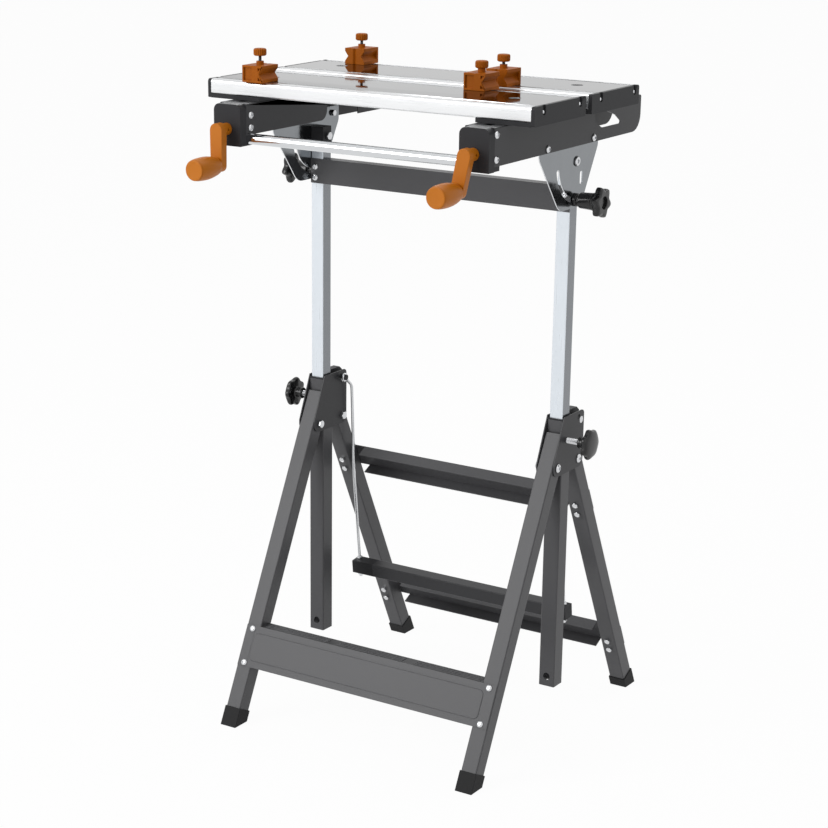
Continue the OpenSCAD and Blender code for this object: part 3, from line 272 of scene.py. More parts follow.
# The same powder coat on bent sheet, a little darker and smoother than on the drawn tubes
# On the tread of the step panel its darker colour stands as painted shade on the top
POWDER_COAT_SHEET = Finish("powder_coated_sheet", Slot.DARK_STEEL, "#3c3c3e", Grain.PEEL, 0.32, ior=1.27,
                           grain_mm=2.2, relief_mm=0.003, mottle=0.03, mottle_mm=90, gloss_spread=0.02)
# Zinc plated square tube: cool pale metal whose dull film takes half of its mirror, drawn along its length at
# 1.5 mm
ZINC_PLATE = Finish("zinc_plated_tube", Slot.ZINC, "#dce2e8", Grain.RISEN, 0.3, metallic=0.6, grain_mm=1.5,
                    relief_mm=0.003, mottle=0.03, mottle_mm=60, gloss_spread=0.04)
# The sides of the zinc plated tube, grayer and clearer than its faces: painted shade of the dark they mirror
ZINC_SIDE_PAINTED_SHADE = Finish("zinc_plated_tube_side", Slot.ZINC, "#84878b", Grain.RISEN, 0.2, metallic=0.85,
                   grain_mm=1.5, relief_mm=0.003, mottle=0.04, mottle_mm=40, gloss_spread=0.05)
# Zinc plated sheet of the tilt plates, grayer and nearly a mirror, with faint crystals of 8 mm
ZINC_SHEET = Finish("zinc_plated_sheet", Slot.ZINC, "#85888b", Grain.SPANGLE, 0.16, metallic=1.0,
                    grain_mm=8.0, relief_mm=0.003, mottle=0.05, mottle_mm=25, gloss_spread=0.05)
# Clear anodised aluminium extrusion: near white, with die lines along its length, drawn at 1.2 mm
ANODISED = Finish("anodised_aluminium", Slot.ALUMINIUM, "#d6d7d8", Grain.DRAWN, 0.3, metallic=1.0,
                  grain_mm=1.2, relief_mm=0.006, mottle=0.02, mottle_mm=200, gloss_spread=0.05)
# The flats on top of the jaws, ground before anodising: a little grayer
GROUND_FLAT = Finish("ground_aluminium_flat", Slot.ALUMINIUM, "#d2d4d6", Grain.DRAWN, 0.2, metallic=1.0,
                     grain_mm=1.4, relief_mm=0.003, mottle=0.03, mottle_mm=150, gloss_spread=0.05)
# The band between the slots, ground and polished before anodising: a mirror whose gray is painted reflection
# of what stands on it
POLISHED_BAND_PAINTED_REFLECTION = Finish("polished_aluminium_band", Slot.ALUMINIUM, "#4a4b4d", Grain.DRAWN, 0.05,
                       metallic=1.0, grain_mm=1.6, relief_mm=0.001, mottle=0.03, mottle_mm=150,
                       gloss_spread=0.02)
# Chromium plated steel tube: a clear mirror
CHROME = Finish("chrome_plated_tube", Slot.CHROME, "#d2d4d6", Grain.SMOOTH, 0.06, metallic=1.0, grain_mm=30,
                relief_mm=0.005, mottle=0.02, gloss_spread=0.02)
# Bright nickel on turned bolts and pressed screws
BRIGHT_STEEL = Finish("nickel_plated_steel", Slot.BRIGHT_STEEL, "#cfd0d2", Grain.SMOOTH, 0.16, metallic=1.0,
                      grain_mm=2.5, relief_mm=0.01, mottle=0.05, mottle_mm=8, gloss_spread=0.05)
# Glass filled nylon, black, moulded with a matt grain of about 0.6 mm, drawn at 1.2 mm
BLACK_NYLON = Finish("moulded_black_nylon", Slot.BLACK_PLASTIC, "#353537", Grain.SPARK, 0.4, grain_mm=1.2,
                     relief_mm=0.012, mottle=0.05, mottle_mm=50, ior=1.18)
# Glass filled nylon, burnt orange, with the same grain a little deeper
ORANGE_NYLON = Finish("moulded_orange_nylon", Slot.ORANGE_PLASTIC, "#bc6c0a", Grain.SPARK, 0.48,
                      grain_mm=1.2, relief_mm=0.015, mottle=0.05, mottle_mm=30, ior=1.35)
# The dogs' nylon, with more glass: redder and deeper, waxy where it is gripped
DOG_NYLON = Finish("moulded_dog_nylon", Slot.ORANGE_PLASTIC, "#a05408", Grain.SPARK, 0.5, grain_mm=1.2,
                   relief_mm=0.015, mottle=0.06, mottle_mm=25, ior=1.2)
# The star knobs: the same black nylon from a polished tool, glossy
GLOSSY_NYLON = Finish("polished_black_nylon", Slot.BLACK_PLASTIC, "#161617", Grain.PEEL, 0.22, grain_mm=3.0,
                      relief_mm=0.008, mottle=0.05, mottle_mm=30, ior=1.42, coat=0.1)
# Edge of the zinc sheet where it was stamped out: bright and rough
CUT_EDGE = Finish("stamped_zinc_edge", Slot.ZINC, "#e4e6e8", Grain.SMOOTH, 0.35, metallic=1.0, grain_mm=2.0,
                  relief_mm=0.02, mottle=0.08, mottle_mm=6, gloss_spread=0.08)
# Blackened steel of washers and of the dogs' studs
BLACK_OXIDE = Finish("blackened_steel", Slot.BRIGHT_STEEL, "#4a4a4c", Grain.SMOOTH, 0.3, metallic=1.0,
                     grain_mm=2.0, relief_mm=0.01, mottle=0.06, mottle_mm=8, gloss_spread=0.06)
# Rubber of the feet, matt and nearly black
FOOT_RUBBER = Finish("moulded_rubber", Slot.RUBBER, "#1d1d1e", Grain.SPARK, 0.7, grain_mm=1.5,
                     relief_mm=0.03, mottle=0.08, mottle_mm=20, ior=1.3)


def cad_copy(node: str) -> bmesh.types.BMesh:
    """Returns a copy of a CAD node's mesh with its loose triangles merged and its flat faces joined.

    Args:
        node: The CAD node's name.

    Returns:
        The merged copy, which the caller frees.
    """
    mesh = bmesh.new()
    mesh.from_mesh(frame["nodes"][node].data)
    bmesh.ops.remove_doubles(mesh, verts=mesh.verts, dist=MERGE_REACH)
    bmesh.ops.dissolve_limit(mesh, angle_limit=math.radians(FLAT_ANGLE), verts=mesh.verts, edges=mesh.edges)
    return mesh


def is_sharp(edge: bmesh.types.BMEdge) -> bool:
    """Says whether an edge between two faces is sharp enough to be rounded."""
    return len(edge.link_faces) == 2 and edge.calc_face_angle(0.0) > math.radians(SHARP_ANGLE)


@dataclass(frozen=True)
class Rounding:
    """How an edge is rounded: how far that reaches from the edge, in millimetres, and in how many faces."""

    width: float
    faces: int


def rounded_edges(mesh: bmesh.types.BMesh, rounding: Rounding, test: EdgeTest) -> None:
    """Rounds the edges of a mesh that pass a test.

    Args:
        mesh: The mesh to change.
        rounding: How they are rounded.
        test: Says which edges are rounded.
    """
    edges = [e for e in mesh.edges if test(e)]
    if edges:
        bmesh.ops.bevel(mesh, geom=edges, offset=rounding.width * MM, offset_type="OFFSET",
                        segments=rounding.faces, profile=0.5, affect="EDGES", clamp_overlap=True,
                        loop_slide=True)


def to_data(mesh: bmesh.types.BMesh, name: str) -> bpy.types.Mesh:
    """Turns a bmesh into mesh data.

    Args:
        mesh: The mesh, which is freed.
        name: The data's name.

    Returns:
        The new data.
    """
    data = bpy.data.meshes.new(name)
    mesh.to_mesh(data)
    mesh.free()
    return data


def linked(name: str, data: bpy.types.ID) -> bpy.types.Object:
    """Puts a new object with the given data into the scene.

    Args:
        name: The object's name.
        data: Its mesh, lamp or camera.

    Returns:
        The object.
    """
    obj = bpy.data.objects.new(name, data)
    bpy.context.scene.collection.objects.link(obj)
    return obj


def discard(obj: bpy.types.Object) -> None:
    """Removes an object together with its mesh.

    Args:
        obj: The object.
    """
    data = obj.data
    bpy.data.objects.remove(obj)
    bpy.data.meshes.remove(data)


def to_object(mesh: bmesh.types.BMesh, name: str) -> bpy.types.Object:
    """Turns a bmesh into a linked object with smooth shading that keeps its flat faces flat.

    Args:
        mesh: The mesh, which is freed.
        name: The object's name.

    Returns:
        The new object, at the origin.
    """
    bmesh.ops.dissolve_degenerate(mesh, dist=MERGE_REACH, edges=mesh.edges)
    obj = linked(name, to_data(mesh, name))
    for face in obj.data.polygons:
        face.use_smooth = True
    obj.data.set_sharp_from_angle(angle=math.radians(SHADE_ANGLE))
    weigh = obj.modifiers.new("weigh", "WEIGHTED_NORMAL")
    weigh.keep_sharp = True
    settle(obj)
    return obj


def settle(obj: bpy.types.Object) -> None:
    """Applies every modifier of an object to its mesh.

    Args:
        obj: The object to settle.
    """
    bpy.context.view_layer.update()
    plain = bpy.data.meshes.new_from_object(obj.evaluated_get(bpy.context.evaluated_depsgraph_get()))
    obj.modifiers.clear()
    old, obj.data = obj.data, plain
    bpy.data.meshes.remove(old)
    plain.name = obj.name


def carved(mesh: bmesh.types.BMesh, cutter: bmesh.types.BMesh) -> bmesh.types.BMesh:
    """Cuts one mesh out of another and frees both.

    Args:
        mesh: The mesh that is cut.
        cutter: The closed mesh that is taken away.

    Returns:
        What is left.
    """
    whole, tool = (linked("carve", to_data(shape, "carve")) for shape in (mesh, cutter))
    cut = whole.modifiers.new("cut", "BOOLEAN")
    cut.object, cut.operation, cut.solver = tool, "DIFFERENCE", "EXACT"
    settle(whole)
    left = bmesh.new()
    left.from_mesh(whole.data)
    discard(whole)
    discard(tool)
    return left


def block(low: Sequence[float], high: Sequence[float]) -> bmesh.types.BMesh:
    """Builds a box between two corners.

    Args:
        low: Its least X, Y and Z, in millimetres.
        high: Its greatest X, Y and Z.

    Returns:
        The box.
    """
    mesh = bmesh.new()
    bmesh.ops.create_cube(mesh, size=1.0)
    size = [(b - a) * MM for a, b in zip(low, high)]
    middle = Vector([(a + b) / 2 * MM for a, b in zip(low, high)])
    place = Matrix.Translation(middle) @ Matrix.Diagonal((*size, 1.0))
    bmesh.ops.transform(mesh, matrix=place, verts=mesh.verts)
    return mesh


def islands(node: str) -> list[list[Vector]]:
    """Finds the separate solids of a CAD node, in the same order in each run.

    Args:
        node: The CAD node's name.

    Returns:
        The corner points of each solid.
    """
    mesh = cad_copy(node)
    left, found = dict.fromkeys(mesh.verts), []
    while left:
        stack, part = [left.popitem()[0]], []
        while stack:
            vert = stack.pop()
            part.append(vert.co.copy())
            for edge in vert.link_edges:
                other = edge.other_vert(vert)
                if other in left:
                    del left[other]
                    stack.append(other)
        found.append(part)
    mesh.free()
    return found


@dataclass(frozen=True)
class Ring:
    """One ring of a turned shape, round or six-sided, in metres or in shares of the shape's size.

    Its lobe says how much of the lobes, or of the thread, reaches it.
    """

    radius: float
    height: float
    six_sided: bool = False
    lobe: float = 1.0


def profile(*points: tuple[float, ...]) -> list[Ring]:
    """Turns a profile's points in millimetres, each a radius, a height and a lobe, into rings."""
    return [Ring(p[0] * MM, p[1] * MM, lobe=p[2] if len(p) > 2 else 0.0) for p in points]


def turned(rings: Sequence[Ring], steps: int = 24) -> bmesh.types.BMesh:
    """Builds a shape turned about Z from its rings, bottom first, closed where a ring has no radius.

    Args:
        rings: The rings in order, going up the outside.
        steps: How many corners a ring has.

    Returns:
        The new mesh.
    """
    mesh = bmesh.new()
    sector = math.pi / 3
    lobe = mesh.verts.layers.float.new("lobe")
    loops: list[list[bmesh.types.BMVert]] = []
    for ring in rings:
        if ring.radius == 0:
            loops.append([mesh.verts.new((0, 0, ring.height))])
            continue
        loop = []
        for i in range(steps):
            angle = 2 * math.pi * i / steps
            turn = (angle + sector / 2) % sector - sector / 2
            radius = ring.radius * (math.cos(sector / 2) / math.cos(turn) if ring.six_sided else 1)
            vert = mesh.verts.new((radius * math.cos(angle), radius * math.sin(angle), ring.height))
            vert[lobe] = ring.lobe
            loop.append(vert)
        loops.append(loop)
    for low, high in zip(loops, loops[1:]):
        for i in range(steps):
            j = (i + 1) % steps
            if len(low) == 1:
                mesh.faces.new((low[0], high[j], high[i]))
            elif len(high) == 1:
                mesh.faces.new((low[i], low[j], high[0]))
            else:
                mesh.faces.new((low[i], low[j], high[j], high[i]))
    bmesh.ops.remove_doubles(mesh, verts=mesh.verts, dist=SEAM_REACH)
    bmesh.ops.recalc_face_normals(mesh, faces=mesh.faces)
    return mesh


class Growth:
    """A Geometry Nodes tree with named inputs, and the way it is run on a mesh."""

    def __init__(self, name: str, inputs: dict[str, str]) -> None:
        """Starts a tree with a geometry input, the named inputs and a geometry output.

        Args:
            name: The tree's name.
            inputs: For each named input its socket type.
        """
        self.tree = bpy.data.node_groups.new(name, "GeometryNodeTree")
        face = self.tree.interface
        face.new_socket("Geometry", in_out="OUTPUT", socket_type="NodeSocketGeometry")
        sockets = {"Geometry": "NodeSocketGeometry", **inputs, "Finish": "NodeSocketMaterial"}
        for label, kind in sockets.items():
            face.new_socket(label, in_out="INPUT", socket_type=kind)
        self.given = add(self.tree, "NodeGroupInput").outputs
        self.end(self.grow())

    def add(self, kind: str, links: Optional[dict[Any, Value]] = None, **settings: Any) -> bpy.types.Node:
        """Adds one node to this tree."""
        return add(self.tree, kind, links, **settings)

    def maths(self, operation: str, *values: Value) -> bpy.types.NodeSocket:
        """Adds one sum to this tree and returns its result."""
        return self.add("ShaderNodeMath", dict(enumerate(values)), operation=operation).outputs[0]

    def named(self, label: str, kind: str = "FLOAT") -> bpy.types.NodeSocket:
        """Adds a read of the named attribute that each point carries."""
        read = self.add("GeometryNodeInputNamedAttribute", {"Name": label}, data_type=kind)
        return read.outputs["Attribute"]

    def position(self) -> bpy.types.NodeOutputs:
        """Adds a read of each point's place and returns its X, Y and Z."""
        place = self.add("GeometryNodeInputPosition").outputs["Position"]
        return self.add("ShaderNodeSeparateXYZ", {"Vector": place}).outputs

    def drawn_in(self, place: bpy.types.NodeOutputs, share: bpy.types.NodeSocket) -> bpy.types.NodeSocket:
        """Draws each point towards the Z axis.

        Args:
            place: The point's X, Y and Z.
            share: How much of its radius it loses.

        Returns:
            The changed geometry.
        """
        keep = self.maths("SUBTRACT", 1.0, share)
        put = self.add("ShaderNodeCombineXYZ", {"X": self.maths("MULTIPLY", place["X"], keep),
                                                "Y": self.maths("MULTIPLY", place["Y"], keep),
                                                "Z": place["Z"]})
        return self.add("GeometryNodeSetPosition", {"Geometry": self.given["Geometry"],
                                                    "Position": put.outputs["Vector"]}).outputs["Geometry"]

    def grow(self) -> bpy.types.NodeSocket:
        """Adds the nodes between the input and the end, and returns the geometry they make."""
        raise NotImplementedError

    def end(self, geometry: bpy.types.NodeSocket) -> None:
        """Closes the tree with realised instances and the finish.

        Args:
            geometry: What the tree has made.
        """
        real = self.add("GeometryNodeRealizeInstances", {"Geometry": geometry})
        dressed = self.add("GeometryNodeSetMaterial", {"Geometry": real.outputs["Geometry"],
                                                       "Material": self.given["Finish"]})
        self.add("NodeGroupOutput", {"Geometry": dressed.outputs["Geometry"]})

    def run(self, data: bpy.types.Mesh, finish: Finish, **values: Any) -> bmesh.types.BMesh:
        """Runs the tree on a mesh.

        Args:
            data: The mesh that the tree starts from.
            finish: The finish that it sets.
            **values: The named inputs, with _ for a space.

        Returns:
            The grown shape as a plain mesh.
        """
        obj = linked("seed", data)
        grower = obj.modifiers.new("grow", "NODES")
        grower.node_group = self.tree
        names = {item.name: item.identifier for item in self.tree.interface.items_tree
                 if item.item_type == "SOCKET" and item.in_out == "INPUT"}
        grower[names["Finish"]] = finish.material()
        for label, value in values.items():
            grower[names[label.replace("_", " ")]] = value
        settle(obj)
        grown = bmesh.new()
        grown.from_mesh(obj.data)
        discard(obj)
        return grown


class FastenerField(Growth):
    """Puts one fastener on each point, turned and sized by the point, with its socket at a random turn."""

    def __init__(self) -> None:
        """Builds the tree."""
        super().__init__("fastener_field", {"Fastener": "NodeSocketObject", "Loose turn": "NodeSocketFloat",
                                            "Seed": "NodeSocketInt"})

    def grow(self) -> bpy.types.NodeSocket:
        """Places an instance on each point and gives it a loose turn about its own axis.

        Returns:
            The instances.
        """
        shape = self.add("GeometryNodeObjectInfo", {"Object": self.given["Fastener"]})
        way = self.add("FunctionNodeEulerToRotation", {"Euler": self.named("turn", "FLOAT_VECTOR")})
        put = self.add("GeometryNodeInstanceOnPoints", {
            "Points": self.given["Geometry"], "Instance": shape.outputs["Geometry"],
            "Rotation": way.outputs["Rotation"], "Scale": self.named("size", "FLOAT_VECTOR")})
        chance = self.add("FunctionNodeRandomValue", {3: self.given["Loose turn"],
                                                      "Seed": self.given["Seed"]}, data_type="FLOAT")
        spin = self.add("ShaderNodeCombineXYZ", {"Z": chance.outputs[1]})
        return self.add("GeometryNodeRotateInstances", {
            "Instances": put.outputs["Instances"], "Rotation": spin.outputs["Vector"]}).outputs["Instances"]


class LobedGrip(Growth):
    """Presses lobes or flutes into the rim of a turned shape."""

    def __init__(self) -> None:
        """Builds the tree."""
        super().__init__("lobed_grip", {"Lobes": "NodeSocketInt", "Depth": "NodeSocketFloat",
                                        "Width": "NodeSocketFloat"})

    def grow(self) -> bpy.types.NodeSocket:
        """Draws each point towards the axis by a wave of its angle, as far as its lobe attribute says.

        Returns:
            The lobed shape.
        """
        place = self.position()
        angle = self.maths("ARCTAN2", place["Y"], place["X"])
        wave = self.maths("COSINE", self.maths("MULTIPLY", angle, self.given["Lobes"]))
        dip = self.maths("POWER", self.maths("MULTIPLY_ADD", wave, -0.5, 0.5), self.given["Width"])
        weighed = self.maths("MULTIPLY", dip, self.named("lobe"))
        return self.drawn_in(place, self.maths("MULTIPLY", weighed, self.given["Depth"]))


class ThreadedRod(Growth):
    """Cuts a screw thread into a turned rod."""

    def __init__(self) -> None:
        """Builds the tree."""
        super().__init__("threaded_rod", {"Pitch": "NodeSocketFloat", "Depth": "NodeSocketFloat"})

    def grow(self) -> bpy.types.NodeSocket:
        """Draws each point in by a ramp that climbs one pitch a turn.

        Returns:
            The threaded shape.
        """
        place = self.position()
        angle = self.maths("ARCTAN2", place["Y"], place["X"])
        climb = self.maths("DIVIDE", place["Z"], self.given["Pitch"])
        phase = self.maths("FRACT", self.maths("SUBTRACT", climb, self.maths("DIVIDE", angle, 2 * math.pi)))
        ramp = self.maths("ABSOLUTE", self.maths("MULTIPLY_ADD", phase, 2.0, -1.0))
        weighed = self.maths("MULTIPLY", ramp, self.named("lobe"))
        return self.drawn_in(place, self.maths("MULTIPLY", weighed, self.given["Depth"]))


class RibRow(Growth):
    """Lays a row of pressed beads beside one another, each along X and tapered at its ends.

    A bead has STEPS points along it and SIDES around it. It reaches its full width one TAPER-th of its length
    from an end and is never thinner than the share LEAST of it.
    """

    STEPS = 24
    SIDES = 12
    TAPER = 16.0
    LEAST = 0.05

    def __init__(self) -> None:
        """Builds the tree."""
        super().__init__("rib_row", {"Count": "NodeSocketInt", "Pitch": "NodeSocketFloat",
                                     "Length": "NodeSocketFloat", "Width": "NodeSocketFloat",
                                     "Height": "NodeSocketFloat"})

    def grow(self) -> bpy.types.NodeSocket:
        """Sweeps one bead and repeats it on the points of a line.

        Returns:
            The beads.
        """
        half = self.maths("MULTIPLY", self.given["Length"], 0.5)
        start = self.add("ShaderNodeCombineXYZ", {"X": self.maths("MULTIPLY", half, -1.0)})
        stop = self.add("ShaderNodeCombineXYZ", {"X": half})
        line = self.add("GeometryNodeCurvePrimitiveLine", {"Start": start.outputs[0], "End": stop.outputs[0]})
        fine = self.add("GeometryNodeResampleCurve", {"Curve": line.outputs["Curve"], "Count": self.STEPS})
        along = self.add("GeometryNodeSplineParameter").outputs["Factor"]
        edge = self.maths("MINIMUM", along, self.maths("SUBTRACT", 1.0, along))
        rise = self.maths("MINIMUM", self.maths("MULTIPLY", edge, self.TAPER), 1.0)
        share = self.maths("MAXIMUM", self.maths("POWER", rise, 0.5), self.LEAST)
        tapered = self.add("GeometryNodeSetCurveRadius", {"Curve": fine.outputs["Curve"], "Radius": share})
        radius = self.maths("MULTIPLY", self.given["Width"], 0.5)
        ring = self.add("GeometryNodeCurvePrimitiveCircle", {"Resolution": self.SIDES, "Radius": radius})
        bead = self.add("GeometryNodeCurveToMesh", {"Curve": tapered.outputs["Curve"], "Fill Caps": True,
                                                    "Profile Curve": ring.outputs["Curve"]})
        flat = self.add("ShaderNodeCombineXYZ", {
            "X": 1.0, "Y": 1.0, "Z": self.maths("DIVIDE", self.given["Height"], radius)})
        low = self.add("GeometryNodeTransform", {"Geometry": bead.outputs["Mesh"], "Scale": flat.outputs[0]})
        step = self.add("ShaderNodeCombineXYZ", {"Y": self.given["Pitch"]})
        row = self.add("GeometryNodeMeshLine", {"Count": self.given["Count"], "Offset": step.outputs[0]})
        return self.add("GeometryNodeInstanceOnPoints", {
            "Points": row.outputs["Mesh"], "Instance": low.outputs["Geometry"]}).outputs["Instances"]


class BentRod(Growth):
    """Bends a round rod along a line of points, with a rounded bend at each inner one.

    A bend has BEND_STEPS points and the rod SIDES around it.
    """

    BEND_STEPS = 8
    SIDES = 16

    def __init__(self) -> None:
        """Builds the tree."""
        super().__init__("bent_rod", {"Bend": "NodeSocketFloat", "Radius": "NodeSocketFloat"})

    def grow(self) -> bpy.types.NodeSocket:
        """Rounds the line's bends and sweeps a circle along it.

        Returns:
            The bent rod.
        """
        line = self.add("GeometryNodeMeshToCurve", {"Mesh": self.given["Geometry"]})
        soft = self.add("GeometryNodeFilletCurve", {"Curve": line.outputs["Curve"], "Count": self.BEND_STEPS,
                                                    "Radius": self.given["Bend"]}, mode="POLY")
        ring = self.add("GeometryNodeCurvePrimitiveCircle", {"Resolution": self.SIDES,
                                                             "Radius": self.given["Radius"]})
        return self.add("GeometryNodeCurveToMesh", {"Curve": soft.outputs["Curve"],
                                                    "Profile Curve": ring.outputs["Curve"],
                                                    "Fill Caps": True}).outputs["Mesh"]


@dataclass(frozen=True)
class Place:
    """Where a fastener sits: the seat of its head, the way the head looks and the length behind it."""

    seat: Vector
    way: Vector
    length: float


@dataclass(frozen=True)
class FastenerSizes:
    """Sizes of one kind of bolt, in millimetres."""

    head_d: float = 12.0
    head_h: float = 3.6
    shank_d: float = 6.0
    nut_d: float = 11.5
    nut_h: float = 5.0
    washer_d: float = 0.0
    washer_h: float = 1.0


# The bolts that the legs and the table turn on
PIVOT_BOLT = FastenerSizes(head_d=15, head_h=3.6, shank_d=8, nut_d=15, nut_h=6.5, washer_d=17.4)


class Fasteners:
    """The bench's bolts, screws and nuts: one template each, spread by the fastener field."""

    SEED = 7
    DOME = (Ring(0, 0), Ring(1, 0), Ring(1, 0.1), Ring(0.97, 0.35), Ring(0.86, 0.62), Ring(0.68, 0.84),
            Ring(0.5, 0.96), Ring(0.46, 1.0), Ring(0.42, 1.0, True), Ring(0.4, 0.45, True), Ring(0, 0.4))
    NUT = (Ring(0, 0), Ring(0.85, 0), Ring(1, 0.12, True), Ring(1, 0.86, True), Ring(0.85, 1.0),
           Ring(0.56, 1.0), Ring(0.5, 0.92), Ring(0, 0.92))
    FLAT = (Ring(0, 0), Ring(1, 0), Ring(1, 0.62), Ring(0.95, 0.86), Ring(0.84, 1.0), Ring(0.56, 1.0),
            Ring(0.5, 0.96, True), Ring(0.46, 0.4, True), Ring(0, 0.36))
    SHANK = (Ring(0, 0), Ring(0.9, 0), Ring(1, 0.04), Ring(1, 1.0), Ring(0, 1.0))
    WASHER = (Ring(0, 0), Ring(0.97, 0), Ring(1, 0.2), Ring(1, 0.8), Ring(0.97, 1.0), Ring(0, 1.0))

    def __init__(self) -> None:
        """Builds the field's tree and no template yet."""
        self.field = FastenerField()
        self.made: dict[str, bpy.types.Object] = {}

    def template(self, name: str, rings: Sequence[Ring]) -> bpy.types.Object:
        """Returns the hidden object of a template, built once.

        Args:
            name: The template's name.
            rings: Its rings.

        Returns:
            The object.
        """
        if name not in self.made:
            self.made[name] = linked(name, to_data(turned(rings), name))
        return self.made[name]

    def spread(self, name: str, rings: Sequence[Ring], places: Sequence[Place], width: float,
               height: Optional[float], finish: Finish) -> bmesh.types.BMesh:
        """Puts one template on every place.

        Args:
            name: The template's name.
            rings: Its rings.
            places: Where the templates go.
            width: The width of each, in millimetres.
            height: The height of each, in millimetres, or None for the length of its place.
            finish: The finish of the whole set.

        Returns:
            The set as one mesh.
        """
        data = bpy.data.meshes.new("points")
        data.from_pydata([tuple(p.seat) for p in places], [], [])
        turns = data.attributes.new("turn", "FLOAT_VECTOR", "POINT")
        sizes = data.attributes.new("size", "FLOAT_VECTOR", "POINT")
        half = width / 2 * MM
        for i, place in enumerate(places):
            turns.data[i].vector = place.way.to_track_quat("Z", "Y").to_euler()
            sizes.data[i].vector = (half, half, place.length if height is None else height * MM)
        return self.field.run(data, finish, Fastener=self.template(name, rings), Loose_turn=2 * math.pi,
                              Seed=self.SEED)

    def clear(self) -> None:
        """Removes the templates once every set is made."""
        for obj in self.made.values():
            discard(obj)
        self.made.clear()


def joined(*parts: bmesh.types.BMesh) -> bmesh.types.BMesh:
    """Puts several meshes into one.

    Args:
        *parts: The meshes, which are freed.

    Returns:
        The new mesh.
    """
    whole = bmesh.new()
    for part in parts:
        data = to_data(part, "part")
        whole.from_mesh(data)
        bpy.data.meshes.remove(data)
    return whole


